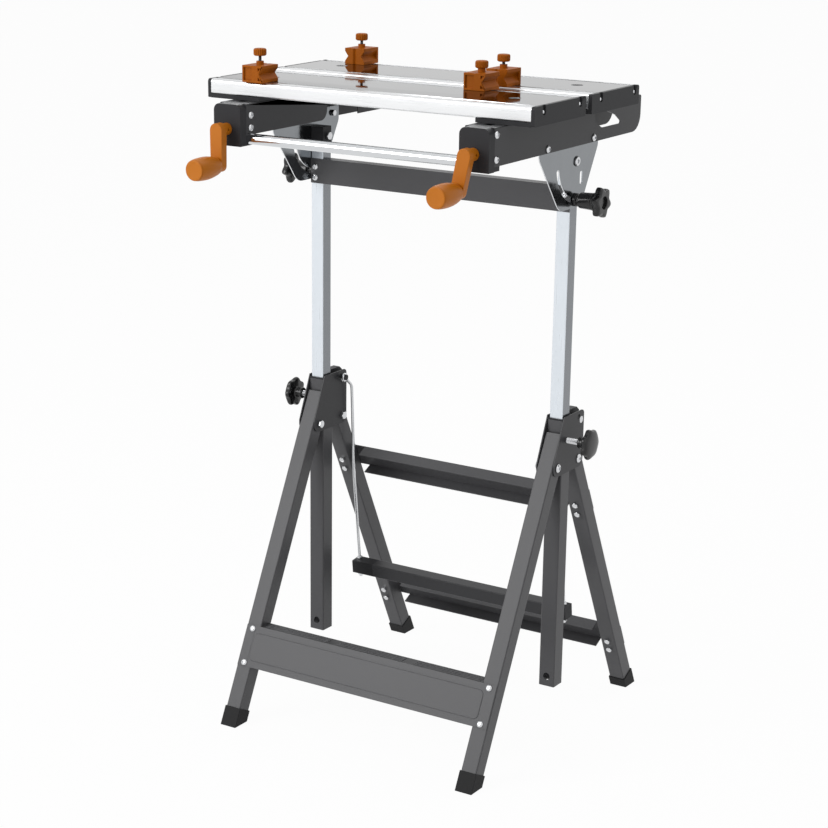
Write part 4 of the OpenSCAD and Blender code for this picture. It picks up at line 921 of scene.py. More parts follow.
class Workshop:
    """What every sub-assembly uses: the shared growths and the way a piece is finished and hung on its body.

    A grip has LOBE_STEPS corners for each of its lobes and GRIP_STEPS around it at least. A thread has
    THREAD_STEPS rings in each pitch and ROD_STEPS corners around it.
    """

    GRIP_STEPS = 48
    LOBE_STEPS = 8
    THREAD_STEPS = 5
    ROD_STEPS = 20

    def __init__(self) -> None:
        """Builds the shared trees."""
        self.fasteners = Fasteners()
        self.lobes = LobedGrip()
        self.thread = ThreadedRod()
        self.ribs = RibRow()
        self.bends = BentRod()

    def hang(self, obj: bpy.types.Object, finishes: Sequence[Finish], node: str) -> None:
        """Gives a piece its finishes, hangs it on the body of its CAD node and reports it.

        Args:
            obj: The finished piece.
            finishes: Its finishes, in the order of its material slots.
            node: The CAD node that it stands for.
        """
        body = frame["nodes"][node]["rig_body"]
        for finish in finishes:
            obj.data.materials.append(finish.material())
        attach(obj, body)
        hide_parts(node)
        log.info("%s: %d faces on %s", obj.name, len(obj.data.polygons), body)

    def soft(self, node: str, finish: Finish, edge: Rounding,
             wide: Optional[tuple[Rounding, EdgeTest]] = None, bands: Sequence[tuple[Finish, FaceTest]] = (),
             cutter: Optional[bmesh.types.BMesh] = None,
             extra: Sequence[tuple[bmesh.types.BMesh, Finish]] = ()) -> None:
        """Makes the piece that stands for one CAD node, with the edges that the real one has.

        Args:
            node: The CAD node.
            finish: Its finish.
            edge: The rounding of its edges.
            wide: A larger rounding, with the test for the edges that get it first.
            bands: Further finishes, each with the test for the faces that get it.
            cutter: A mesh that is cut away once the edges are rounded.
            extra: Meshes that are added to the piece, each with its finish.
        """
        mesh = cad_copy(node)
        if wide:
            rounded_edges(mesh, wide[0], lambda e: is_sharp(e) and wide[1](e))
        rounded_edges(mesh, edge, is_sharp)
        if cutter:
            mesh = carved(mesh, cutter)
        mesh.normal_update()
        finishes = list(dict.fromkeys([finish, *(b[0] for b in bands), *(e[1] for e in extra)]))
        for face in mesh.faces:
            face.material_index = next((finishes.index(b[0]) for b in bands if b[1](face)), 0)
        for shape, own in extra:
            for face in shape.faces:
                face.material_index = finishes.index(own)
        obj = to_object(joined(mesh, *(e[0] for e in extra)), f"{node}_piece")
        self.hang(obj, finishes, node)

    def assemble(self, node: str, parts: Sequence[tuple[bmesh.types.BMesh, Finish]]) -> None:
        """Joins meshes of several finishes into the piece that stands for one CAD node.

        Args:
            node: The CAD node.
            parts: The meshes in their places, each with its finish, the main one first.
        """
        finishes = list(dict.fromkeys(finish for _, finish in parts))
        for mesh, finish in parts:
            for face in mesh.faces:
                face.material_index = finishes.index(finish)
        obj = to_object(joined(*(mesh for mesh, _ in parts)), f"{node}_piece")
        self.hang(obj, finishes, node)

    def grip(self, rings: Sequence[Ring], start: Vector, way: Vector, finish: Finish, lobes: int = 1,
             depth: float = 0.0, width: float = 1.0, turn: float = 0.0) -> bmesh.types.BMesh:
        """Builds a turned grip and puts it in its place.

        Args:
            rings: Its profile, in metres.
            start: Where its lowest ring lies.
            way: The direction of its axis.
            finish: Its finish.
            lobes: How many lobes or flutes it has.
            depth: Their depth as a share of the radius.
            width: Below 1 the dips are wide, above 1 they are narrow.
            turn: The turn of the first lobe about the axis, in degrees.

        Returns:
            The grip's mesh.
        """
        data = to_data(turned(rings, max(self.GRIP_STEPS, lobes * self.LOBE_STEPS)), "grip")
        grown = self.lobes.run(data, finish, Lobes=lobes, Depth=depth, Width=width)
        aim = way.to_track_quat("Z", "Y").to_matrix().to_4x4() @ Matrix.Rotation(math.radians(turn), 4, "Z")
        bmesh.ops.transform(grown, matrix=Matrix.Translation(start) @ aim, verts=grown.verts)
        return grown

    @staticmethod
    def seat(points: Sequence[Vector], way: Callable[[Vector], Vector], head_h: float) -> Place:
        """Finds where a bolt sits.

        Args:
            points: The corner points of its CAD solid.
            way: For the middle of the bolt, the direction in which its head looks.
            head_h: The height of its head, in millimetres.

        Returns:
            Its place.
        """
        look = way(sum(points, Vector()) / len(points)).normalized()
        top = max(p.dot(look) for p in points)
        low = min(p.dot(look) for p in points)
        cap = [p for p in points if p.dot(look) > top - LEVEL_REACH]
        centre = sum(cap, Vector()) / len(cap)
        return Place(centre - look * head_h * MM, look, top - low - head_h * MM)

    def bolts(self, node: str, way: Callable[[Vector], Vector], sizes: FastenerSizes,
              flat: bool = False) -> None:
        """Replaces a CAD node of bolts by turned bolts with sockets, shanks, nuts and washers.

        Args:
            node: The CAD node.
            way: For the middle of a bolt, the direction in which its head looks.
            sizes: The bolt's sizes.
            flat: Whether its head is flat and not domed.
        """
        places = [self.seat(points, way, sizes.head_h) for points in islands(node)]
        back = [Place(p.seat, -p.way, p.length) for p in places]
        far = [Place(p.seat - p.way * (p.length - sizes.nut_h * MM), -p.way, 0) for p in places]
        name, rings = ("flat_head", Fasteners.FLAT) if flat else ("dome_head", Fasteners.DOME)
        kinds = [(name, rings, places, sizes.head_d, sizes.head_h, BRIGHT_STEEL),
                 ("shank", Fasteners.SHANK, back, sizes.shank_d, None, BRIGHT_STEEL)]
        if sizes.nut_h:
            kinds.append(("nut", Fasteners.NUT, far, sizes.nut_d, sizes.nut_h, BRIGHT_STEEL))
        if sizes.washer_d:
            kinds.append(("washer", Fasteners.WASHER, places, sizes.washer_d, sizes.washer_h, BLACK_OXIDE))
        self.assemble(node, [(self.fasteners.spread(*kind), kind[-1]) for kind in kinds])

    def rod(self, start: Vector, end: Vector, radius: float, pitch: float, depth: float) -> bmesh.types.BMesh:
        """Builds a threaded rod between two points.

        Args:
            start: One end, in metres.
            end: The other end.
            radius: Its radius, in metres.
            pitch: Its pitch, in metres.
            depth: Depth of the thread as a share of the radius.

        Returns:
            The rod's mesh in its place.
        """
        length = (end - start).length
        count = max(self.THREAD_STEPS, round(length / pitch * self.THREAD_STEPS))
        rings = [Ring(0, 0), *(Ring(radius, length * i / count) for i in range(count + 1)), Ring(0, length)]
        grown = self.thread.run(to_data(turned(rings, self.ROD_STEPS), "rod"), BRIGHT_STEEL, Pitch=pitch,
                                Depth=depth)
        turn = (end - start).to_track_quat("Z", "Y").to_matrix().to_4x4()
        bmesh.ops.transform(grown, matrix=Matrix.Translation(start) @ turn, verts=grown.verts)
        return grown


def outward(point: Vector) -> Vector:
    """Returns the direction along X away from the middle of the bench."""
    return Vector((math.copysign(1, point.x), 0, 0))


def leg_front(_: Vector) -> Vector:
    """Returns the direction that the face of the front legs looks in."""
    return Vector((0, -math.cos(LEG_LEAN), math.sin(LEG_LEAN)))


def leg_back(_: Vector) -> Vector:
    """Returns the direction that the face of the rear legs looks in."""
    return Vector((0, math.cos(LEG_LEAN), math.sin(LEG_LEAN)))


@dataclass
class Stand:
    """The two upright tubes with their hub plates, guides and pins."""

    shop: Workshop
    tube_edge: Rounding = Rounding(0.8, 2)
    plate_edge: Rounding = Rounding(0.5, 2)
    guide_edge: Rounding = Rounding(0.8, 2)
    pin_edge: Rounding = Rounding(0.5, 2)

    def build(self) -> None:
        """Builds and dresses the stand."""
        self.shop.soft("centre_tubes", POWDER_COAT, self.tube_edge)
        self.shop.soft("hub_plates", POWDER_COAT_SHEET, self.plate_edge)
        self.shop.soft("post_guides", BLACK_NYLON, self.guide_edge)
        self.shop.soft("latch_pins", BRIGHT_STEEL, self.pin_edge)
        self.shop.bolts("pivot_bolts", outward, PIVOT_BOLT)


@dataclass
class Legs:
    """Front and rear legs with the step panel, the bars, their bolts and the feet.

    The tread and its beads are placed in the frame. The panel's flange, web and pressed field are placed from
    the front pivot with the legs upright.
    """

    shop: Workshop
    tube_edge: Rounding = Rounding(0.8, 2)
    sheet_edge: Rounding = Rounding(0.6, 2)
    foot_edge: Rounding = Rounding(1.8, 3)
    bolt: FastenerSizes = FastenerSizes()
    pivot: tuple[float, float] = (5.04, 503.32)
    tread_low: tuple[float, float, float] = (-229.9, -176.0, 165.35)
    tread_high: tuple[float, float, float] = (229.9, -150.4, 166.85)
    tread_edge: Rounding = Rounding(0.5, 2)
    bead_groups: tuple[float, ...] = (-156.4, 0.0, 156.4)
    bead_y: float = -171.0
    bead_count: int = 4
    bead_pitch: float = 5.6
    bead_length: float = 132.7
    bead_width: float = 2.4
    bead_height: float = 1.0
    flange_half: float = 256.0
    flange_y: tuple[float, float] = (-14.6, 16.0)
    flange_z: float = -381.5
    web_face: float = -16.2
    web_front: float = -20.0
    web_skim: float = 0.03
    web_cut_half: tuple[float, float] = (240.0, 28.0)
    field_half: tuple[float, float] = (236.9, 24.8)
    field_mid: float = -419.0
    field_raise: float = 0.9
    field_root: float = 0.2
    field_corner: Rounding = Rounding(8.0, 6)
    field_edge: Rounding = Rounding(0.6, 3)
    outline_r: float = 0.8

    def leaned(self, mesh: bmesh.types.BMesh) -> bmesh.types.BMesh:
        """Turns a mesh from the upright frame of the front legs' pivot to where the legs lean.

        Args:
            mesh: The mesh, placed from the pivot.

        Returns:
            The same mesh.
        """
        place = Matrix.Translation(Vector((0, *self.pivot)) * MM) @ Matrix.Rotation(-LEG_LEAN, 4, "X")
        bmesh.ops.transform(mesh, matrix=place, verts=mesh.verts)
        return mesh

    def beads(self) -> bmesh.types.BMesh:
        """Presses the three groups of grip beads into the level tread of the step panel.

        Returns:
            The beads in their place.
        """
        groups = []
        for middle in self.bead_groups:
            row = self.shop.ribs.run(
                bpy.data.meshes.new("beads"), POWDER_COAT, Count=self.bead_count, Pitch=self.bead_pitch * MM,
                Length=self.bead_length * MM, Width=self.bead_width * MM, Height=self.bead_height * MM)
            place = Vector((middle, self.bead_y, self.tread_high[2])) * MM
            bmesh.ops.translate(row, vec=place, verts=row.verts)
            groups.append(row)
        return joined(*groups)

    def tread(self) -> bmesh.types.BMesh:
        """Bends the level tread at the top of the step panel, with softly rounded edges.

        Returns:
            The tread in its place.
        """
        mesh = block(self.tread_low, self.tread_high)
        rounded_edges(mesh, self.tread_edge, is_sharp)
        return mesh

    def pressed_field(self) -> bmesh.types.BMesh:
        """Presses the bare raised field out of the panel's face, with round corners and a soft edge.

        Returns:
            The field in its place.
        """
        x, z = self.field_half
        mesh = block((-x, self.web_face - self.field_raise, self.field_mid - z),
                     (x, self.web_face + self.field_root, self.field_mid + z))
        rounded_edges(mesh, self.field_corner,
                      lambda e: abs(e.verts[0].co.y - e.verts[1].co.y) > self.field_raise / 2 * MM)
        rounded_edges(mesh, self.field_edge, lambda e: is_sharp(e) and all(
            v.co.y < (self.web_face - self.field_raise / 2) * MM for v in e.verts))
        return self.leaned(mesh)

    def field_outline(self) -> bmesh.types.BMesh:
        """Runs the pressed bead around the raised field of the step panel.

        Returns:
            The bead in its place.
        """
        x, z = self.field_half
        data = bpy.data.meshes.new("outline")
        corners = [(a * x * MM, self.web_face * MM, (self.field_mid + b * z) * MM)
                   for a, b in ((-1, -1), (1, -1), (1, 1), (-1, 1))]
        data.from_pydata(corners, [(0, 1), (1, 2), (2, 3), (3, 0)], [])
        return self.leaned(self.shop.bends.run(data, POWDER_COAT, Bend=self.field_corner.width * MM,
                                               Radius=self.outline_r * MM))

    def cutter(self) -> bmesh.types.BMesh:
        """Builds what the sloping flange and the field of the CAD panel are cut away with.

        Returns:
            The two blocks in their places.
        """
        x, z = self.web_cut_half
        flange = block((-self.flange_half, self.flange_y[0], self.flange_z - OVERRUN),
                       (self.flange_half, self.flange_y[1], self.flange_z + 2 * OVERRUN))
        web = block((-x, self.web_front, self.field_mid - z),
                    (x, self.web_face - self.web_skim, self.field_mid + z))
        return self.leaned(joined(flange, web))

    def build(self) -> None:
        """Builds and dresses the legs."""
        for end, way in (("front", leg_front), ("rear", leg_back)):
            self.shop.soft(f"{end}_legs", POWDER_COAT, self.tube_edge)
            self.shop.soft(f"{end}_feet", FOOT_RUBBER, self.foot_edge)
            bolts = "front_panel_bolts" if end == "front" else "rear_bar_bolts"
            self.shop.bolts(bolts, way, self.bolt)
        # The tread takes the darker sheet coat as painted shade on the panel's top; the rest of the panel
        # keeps the tubes' coat
        self.shop.soft("front_step_panel", POWDER_COAT, self.sheet_edge, cutter=self.cutter(), extra=[
            (self.tread(), POWDER_COAT_SHEET), (self.beads(), POWDER_COAT),
            (self.pressed_field(), POWDER_COAT), (self.field_outline(), POWDER_COAT)])
        for bar in ("rear_upper_bar", "rear_lower_bar"):
            self.shop.soft(bar, POWDER_COAT, self.sheet_edge)


@dataclass
class ReleaseBail:
    """The latches, rods and foot bar that let the rear legs go."""

    shop: Workshop
    latch_edge: Rounding = Rounding(1.2, 3)
    bar_edge: Rounding = Rounding(0.6, 2)
    sleeve_edge: Rounding = Rounding(0.8, 2)
    nut_edge: Rounding = Rounding(0.3, 1)
    rod_x: float = 218.55
    rod_r: float = 2.75
    bend: float = 16.5
    path: tuple[tuple[float, float], ...] = ((41.43, 573.34), (59.984, 556.912), (70.012, 377.956),
                                             (94.683, 177.164))
    eye: tuple[float, float] = (37.5, 576.825)
    eye_rings: tuple[tuple[float, float], ...] = (
        (2.5, -1.9), (7.0, -1.9), (8.0, -0.9), (8.0, 0.9), (7.0, 1.9), (2.5, 1.9), (2.5, -1.9))

    def rod(self, side: int) -> bmesh.types.BMesh:
        """Bends the rod of one side.

        Args:
            side: 1 for the right rod, -1 for the left one.

        Returns:
            The rod in its place.
        """
        data = bpy.data.meshes.new("path")
        points = [(side * self.rod_x * MM, y * MM + TUBE_Y, z * MM) for y, z in self.path]
        data.from_pydata(points, [(i, i + 1) for i in range(len(points) - 1)], [])
        return self.shop.bends.run(data, BRIGHT_STEEL, Bend=self.bend * MM, Radius=self.rod_r * MM)

    def loop(self, side: int) -> bmesh.types.BMesh:
        """Turns the flattened eye at the top of one rod."""
        centre = Vector((side * self.rod_x * MM, self.eye[0] * MM + TUBE_Y, self.eye[1] * MM))
        return self.shop.grip(profile(*self.eye_rings), centre, Vector((1, 0, 0)), BRIGHT_STEEL)

    def build(self) -> None:
        """Builds and dresses the release bail."""
        self.shop.soft("release_latches", BLACK_NYLON, self.latch_edge)
        self.shop.soft("release_bar", POWDER_COAT_SHEET, self.bar_edge)
        self.shop.soft("release_sleeves", BLACK_NYLON, self.sleeve_edge)
        self.shop.soft("release_nuts", BRIGHT_STEEL, self.nut_edge)
        self.shop.assemble("release_rods", [
            (shape(side), BRIGHT_STEEL) for shape in (self.rod, self.loop) for side in (-1, 1)])


@dataclass
class UpperFrame:
    """The telescopic posts, pivot blocks and crossbar."""

    shop: Workshop
    post_edge: Rounding = Rounding(0.9, 3)
    cap_edge: Rounding = Rounding(1.5, 3)
    bar_edge: Rounding = Rounding(0.6, 2)
    # How far a face of the posts must look along X before it takes the painted shade
    shaded_side_normal: float = 0.8
    bar_bolt: FastenerSizes = FastenerSizes(nut_h=0)

    def side(self, face: bmesh.types.BMFace) -> bool:
        """Says whether a face of the posts looks along X and so takes the painted shade of the sides."""
        return abs(face.normal.x) > self.shaded_side_normal

    def build(self) -> None:
        """Builds and dresses the upper frame."""
        # The faces of the posts that look along X are dressed in the zinc with painted shade
        self.shop.soft("inner_posts", ZINC_PLATE, self.post_edge, bands=[(ZINC_SIDE_PAINTED_SHADE, self.side)])
        self.shop.soft("post_caps", BLACK_NYLON, self.cap_edge)
        self.shop.soft("upper_crossbar", POWDER_COAT, self.bar_edge)
        self.shop.bolts("tilt_pivot_bolts", outward, PIVOT_BOLT, flat=True)
        self.shop.bolts("crossbar_bolts", lambda _: Vector((0, -1, 0)), self.bar_bolt)


@dataclass
class Table:
    """The arms, housings, tie tube and tilt plates that carry the jaws."""

    shop: Workshop
    arm_edge: Rounding = Rounding(0.4, 2)
    arm_bend: Rounding = Rounding(2.4, 4)
    housing_edge: Rounding = Rounding(1.6, 3)
    tube_edge: Rounding = Rounding(0.4, 1)
    plate_edge: Rounding = Rounding(0.4, 2)
    arm_top: float = 1103.32
    housing_x: float = 234.0
    flat_normal: float = 0.5
    screw: FastenerSizes = FastenerSizes(nut_h=0)
    plate_bolt: FastenerSizes = FastenerSizes(washer_d=13.6)

    def bend(self, edge: bmesh.types.BMEdge) -> bool:
        """Says whether an edge is one of the long bends between an arm's web and its sides."""
        a, b = (v.co for v in edge.verts)
        return max(abs(a.z - self.arm_top * MM), abs(b.z - a.z), abs(a.x - b.x)) < LEVEL_REACH

    def screw_way(self, point: Vector) -> Vector:
        """Returns where a housing screw's head looks: outward on the outer side, inward on the inner side."""
        return outward(point) * (1 if abs(point.x) > self.housing_x * MM else -1)

    def cut_edge(self, face: bmesh.types.BMFace) -> bool:
        """Says whether a face of the tilt plates is one of their stamped edges."""
        return abs(face.normal.x) < self.flat_normal

    def build(self) -> None:
        """Builds and dresses the table's frame."""
        for side in ("left", "right"):
            self.shop.soft(f"arm_{side}", POWDER_COAT_SHEET, self.arm_edge, wide=(self.arm_bend, self.bend))
        self.shop.soft("arm_housings", BLACK_NYLON, self.housing_edge)
        self.shop.bolts("arm_screws", self.screw_way, self.screw)
        self.shop.soft("tie_tube", CHROME, self.tube_edge)
        self.shop.soft("tilt_plates", ZINC_SHEET, self.plate_edge, bands=[(CUT_EDGE, self.cut_edge)])
        self.shop.bolts("tilt_plate_bolts", outward, self.plate_bolt)


@dataclass
class Jaws:
    """Both aluminium jaws with their end plates and screws."""

    shop: Workshop
    jaw_edge: Rounding = Rounding(0.4, 2)
    end_edge: Rounding = Rounding(0.8, 3)
    nut_edge: Rounding = Rounding(0.8, 2)
    front_y: float = -237.0
    rear_y: float = 113.0
    band: tuple[float, float] = (22.0, 134.0)
    top: float = 1134.62
    top_depth: float = 0.1
    top_normal: float = 0.9
    end_x: float = 311.0
    screw_y: dict[str, tuple[float, float]] = field(default_factory=lambda: {
        "front_jaw": (-170.98, -53.98), "rear_jaw": (133.02, 16.02)})
    screw_down: float = 10.5
    notch_r: float = 4.8
    notch_deep: float = 3.5
    screw: FastenerSizes = FastenerSizes(head_d=6.4, head_h=2.975, shank_d=4.2, nut_h=0)

    def on_top(self, face: bmesh.types.BMFace) -> bool:
        """Says whether a face lies in the top of a jaw."""
        level = (self.top - self.top_depth) * MM
        return face.normal.z > self.top_normal and face.calc_center_median().z > level

    def polished(self, outer: float, way: int) -> FaceTest:
        """Gives the test for a jaw's polished band, from its outer edge in mm and its way back, 1 or -1."""
        # The band takes the finish whose dark gray is painted reflection
        near, far = sorted((outer + way * b) * MM + TUBE_Y for b in self.band)
        return lambda face: self.on_top(face) and near < face.calc_center_median().y < far

    def notches(self, jaw: str) -> bmesh.types.BMesh:
        """Builds what opens each screw's recess to the top of the end plates.

        Args:
            jaw: The jaw's node.

        Returns:
            The blocks that are cut away.
        """
        parts = []
        for side in (-1, 1):
            for y in self.screw_y[jaw]:
                xs = sorted((side * (self.end_x - self.notch_deep), side * (self.end_x + OVERRUN / 2)))
                parts.append(block((xs[0], y - self.notch_r, self.top - self.screw_down),
                                   (xs[1], y + self.notch_r, self.top + OVERRUN)))
        return joined(*parts)

    def build(self) -> None:
        """Builds and dresses the jaws."""
        for jaw, outer, way in (("front_jaw", self.front_y, 1), ("rear_jaw", self.rear_y, -1)):
            # The polished band of each jaw takes the finish with the painted reflection
            self.shop.soft(jaw, ANODISED, self.jaw_edge, bands=[
                (POLISHED_BAND_PAINTED_REFLECTION, self.polished(outer, way)), (GROUND_FLAT, self.on_top)])
            self.shop.soft(f"{jaw}_ends", BLACK_NYLON, self.end_edge, cutter=self.notches(jaw))
            self.shop.bolts(f"{jaw}_screws", outward, self.screw)
        self.shop.soft("jaw_nuts", BRIGHT_STEEL, self.nut_edge)


@dataclass
class Cranks:
    """The lead screws with their cranks and barrel grips.

    A point of a grip's shape is a share of its radius and a distance from its outer end.
    """

    shop: Workshop
    crank_edge: Rounding = Rounding(2.6, 4)
    screw_edge: Rounding = Rounding(0.4, 1)
    axis: tuple[float, float] = (234.8, 1063.12)
    hub_y: float = -259.8
    hub_r: float = 10.0
    hole_r: float = 2.1
    hole_deep: float = 6.0
    screw_y: tuple[float, float] = (-212.0, -64.4)
    screw_r: float = 6.3
    pitch: float = 3.0
    thread_depth: float = 0.12
    grip_r: float = 19.0
    grip_shape: tuple[tuple[float, float], ...] = (
        (0.0, 0.35), (0.5, 0.2), (0.74, 0.05), (0.8, 0.0), (0.86, 0.25), (0.89, 1.2), (0.905, 2.2),
        (0.885, 2.5), (0.885, 2.9), (0.915, 3.2), (0.95, 7.0), (0.975, 12.0), (0.993, 19.0), (1.0, 25.0),
        (0.99, 32.0), (0.955, 39.0), (0.9, 46.0), (0.83, 52.5), (0.755, 57.6), (0.72, 59.0), (0.66, 59.7),
        (0.0, 59.7))

    def hole(self, side: int) -> bmesh.types.BMesh:
        """Builds what is drilled into a crank's hub for its set screw.

        Args:
            side: 1 for the right crank, -1 for the left one.

        Returns:
            The drilled core.
        """
        start = Vector((side * self.axis[0] + self.hub_r - self.hole_deep, self.hub_y, self.axis[1])) * MM
        length = self.hole_deep + OVERRUN
        rings = profile((0, 0), (self.hole_r, 0), (self.hole_r, length), (0, length))
        return self.shop.grip(rings, start, Vector((1, 0, 0)), ORANGE_NYLON)

    def build(self) -> None:
        """Builds and dresses the cranks."""
        for side, name in ((-1, "left"), (1, "right")):
            self.shop.soft(f"crank_{name}", ORANGE_NYLON, self.crank_edge, cutter=self.hole(side))
            low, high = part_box(f"crank_grip_{name}")
            middle = [(a + b) / 2 for a, b in zip(low, high)]
            rings = profile(*((share * self.grip_r, height) for share, height in self.grip_shape))
            start = Vector((middle[0], low[1], middle[2]))
            grip = self.shop.grip(rings, start, Vector((0, 1, 0)), ORANGE_NYLON)
            self.shop.assemble(f"crank_grip_{name}", [(grip, ORANGE_NYLON)])
            ends = [Vector((side * self.axis[0], y, self.axis[1])) * MM for y in self.screw_y]
            thread = self.shop.rod(ends[0], ends[1], self.screw_r * MM, self.pitch * MM, self.thread_depth)
            self.shop.soft(f"lead_screw_{name}", BRIGHT_STEEL, self.screw_edge,
                           extra=[(thread, BRIGHT_STEEL)])


@dataclass
class Dogs:
    """The four clamping dogs with their nuts and knobs.

    A point of a knob's shape is a radius, a height and how much of the flutes reaches it.
    """

    shop: Workshop
    dog_edge: Rounding = Rounding(1.0, 3)
    nut_edge: Rounding = Rounding(0.5, 2)
    knob_h: float = 12.0
    knob_shape: tuple[tuple[float, float, float], ...] = (
        (0.0, 0.0, 0.0), (6.6, 0.0, 0.0), (8.6, 0.15, 0.2), (9.9, 0.8, 0.6), (10.6, 2.0, 1.0),
        (10.74, 3.4, 1.0), (10.74, 8.6, 1.0), (10.6, 10.0, 1.0), (9.9, 11.2, 0.7), (8.6, 11.85, 0.3),
        (6.8, 12.0, 0.0), (6.2, 11.7, 0.0), (0.0, 11.7, 0.0))
    flutes: int = 20
    flute_depth: float = 0.07
    flute_width: float = 1.6
    stud_r: float = 2.7
    stud_sunk: float = 0.5
    stud_pitch: float = 1.25
    thread_depth: float = 0.14

    def build(self) -> None:
        """Builds and dresses the dogs."""
        for which in ("front_left", "rear_left", "front_right", "rear_right"):
            self.shop.soft(f"dog_{which}", DOG_NYLON, self.dog_edge)
            self.shop.soft(f"dog_nut_{which}", BRIGHT_STEEL, self.nut_edge)
            node = f"dog_knob_{which}"
            low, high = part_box(node)
            foot = Vector(((low[0] + high[0]) / 2, (low[1] + high[1]) / 2, high[2] - self.knob_h * MM))
            barrel = self.shop.grip(profile(*self.knob_shape), foot, Vector((0, 0, 1)), DOG_NYLON,
                                    self.flutes, self.flute_depth, self.flute_width)
            stud = self.shop.rod(Vector((foot.x, foot.y, low[2])), foot + Vector((0, 0, self.stud_sunk * MM)),
                                 self.stud_r * MM, self.stud_pitch * MM, self.thread_depth)
            self.shop.assemble(node, [(barrel, DOG_NYLON), (stud, BLACK_OXIDE)])


@dataclass(frozen=True)
class Knob:
    """One kind of star knob: where its shape and its washer start along X, its stud and its lobes.

    A point of its shape is a radius, a distance from the start and how much of the lobes reaches it.
    """

    name: str
    start: float
    shape: tuple[tuple[float, float, float], ...]
    stud_r: float
    lobes: int
    lobe_depth: float
    lobe_width: float
    turn: float = 0.0
    washer_start: Optional[float] = None


@dataclass
class StarKnobs:
    """The star knobs that lock the tilt and the height."""

    shop: Workshop
    tilt: Knob = Knob("tilt_knob", 271.8, (
        (0.0, -2.2, 0.0), (11.0, -2.2, 0.0), (12.5, -1.7, 0.0), (13.1, -0.6, 0.0), (14.3, 21.6, 0.0),
        (13.8, 22.3, 0.0), (15.0, 22.8, 0.0), (15.2, 26.8, 0.0), (14.4, 27.6, 0.0), (14.6, 28.7, 0.1),
        (18.5, 29.1, 0.6), (24.6, 29.9, 1.0), (26.4, 31.6, 1.0), (27.0, 34.5, 1.0), (26.7, 38.4, 1.0),
        (25.4, 40.9, 1.0), (23.0, 41.8, 1.0), (19.8, 42.0, 0.7), (12.0, 42.0, 0.0), (10.9, 41.6, 0.0),
        (10.4, 40.6, 0.0), (10.3, 37.8, 0.0), (0.0, 37.6, 0.0)),
        stud_r=4.0, lobes=6, lobe_depth=0.26, lobe_width=0.85, turn=-13.0, washer_start=259.9)
    height: Knob = Knob("height_knob", 284.7, (
        (0.0, 0.0, 0.0), (8.4, 0.0, 0.0), (9.7, 0.3, 0.0), (10.2, 1.2, 0.0), (10.2, 3.8, 0.0),
        (9.3, 4.6, 0.0), (9.2, 11.0, 0.0), (10.6, 13.4, 0.1), (15.0, 14.0, 0.5), (23.2, 14.3, 1.0),
        (25.8, 15.3, 1.0), (26.9, 17.2, 1.0), (27.0, 19.6, 1.0), (26.6, 21.2, 0.9), (25.6, 22.6, 0.6),
        (23.6, 24.2, 0.3), (20.0, 25.6, 0.1), (14.0, 26.5, 0.0), (7.0, 26.9, 0.0), (0.0, 27.0, 0.0)),
        stud_r=5.0, lobes=7, lobe_depth=0.15, lobe_width=1.0)
    washer: tuple[tuple[float, float], ...] = (
        (0.0, 0.0), (10.2, 0.0), (11.0, 0.8), (11.0, 3.8), (10.2, 4.9), (0.0, 4.9))
    stud_sunk: float = 1.0
    pitch: float = 1.5
    thread_depth: float = 0.14

    def knob(self, kind: Knob, side: int, node: str) -> None:
        """Builds and dresses one knob.

        Args:
            kind: Which of the two kinds it is.
            side: 1 for the right side of the bench, -1 for the left one.
            node: The CAD node that it stands for.
        """
        way = Vector((side, 0, 0))
        low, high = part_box(node)
        axis = Vector((0, TUBE_Y, (low[2] + high[2]) / 2))
        tip = low[0] if side > 0 else -high[0]
        star = self.shop.grip(profile(*kind.shape), axis + way * kind.start * MM, way, GLOSSY_NYLON,
                              kind.lobes, kind.lobe_depth, kind.lobe_width, kind.turn)
        stud = self.shop.rod(axis + way * tip, axis + way * (kind.start + self.stud_sunk) * MM,
                             kind.stud_r * MM, self.pitch * MM, self.thread_depth)
        parts = [(star, GLOSSY_NYLON), (stud, BRIGHT_STEEL)]
        if kind.washer_start:
            seat = axis + way * kind.washer_start * MM
            parts.append((self.shop.grip(profile(*self.washer), seat, way, GLOSSY_NYLON), GLOSSY_NYLON))
        self.shop.assemble(node, parts)

    def build(self) -> None:
        """Builds and dresses the star knobs."""
        for side, name in ((-1, "left"), (1, "right")):
            for kind in (self.tilt, self.height):
                self.knob(kind, side, f"{kind.name}_{name}")


@dataclass
class StudioCamera:
    """The camera at the photograph's place, found by fitting points of the bench to it.

    Its place is in metres. Right, up and ahead are the directions of its own axes in the frame.
    """

    place: tuple[float, float, float] = (1.9271, -3.1180, 1.5715)
    right: tuple[float, float, float] = (0.83102, 0.55623, 0.00459)
    up: tuple[float, float, float] = (-0.17492, 0.25348, 0.95140)
    ahead: tuple[float, float, float] = (-0.52803, 0.79143, -0.30794)
    lens: float = 94.67
    sensor: float = 36.0
    reach: float = 100.0
    shift: tuple[float, float] = (0.0752, 0.1134)

    def build(self) -> None:
        """Creates the camera and makes it the scene's own."""
        data = bpy.data.cameras.new("studio_camera")
        data.lens = self.lens
        data.sensor_width = self.sensor
        data.shift_x, data.shift_y = self.shift
        data.clip_end = self.reach
        obj = linked("studio_camera", data)
        turn = Matrix((self.right, self.up, tuple(-a for a in self.ahead))).transposed()
        obj.matrix_world = Matrix.Translation(self.place) @ turn.to_4x4()
        bpy.context.scene.camera = obj
        log.info("camera at %s", tuple(round(v, 3) for v in obj.location))


@dataclass(frozen=True)
class Lamp:
    """A square soft lamp: its place and its width in metres and its power in watts."""

    name: str
    place: tuple[float, float, float]
    width: float
    power: float


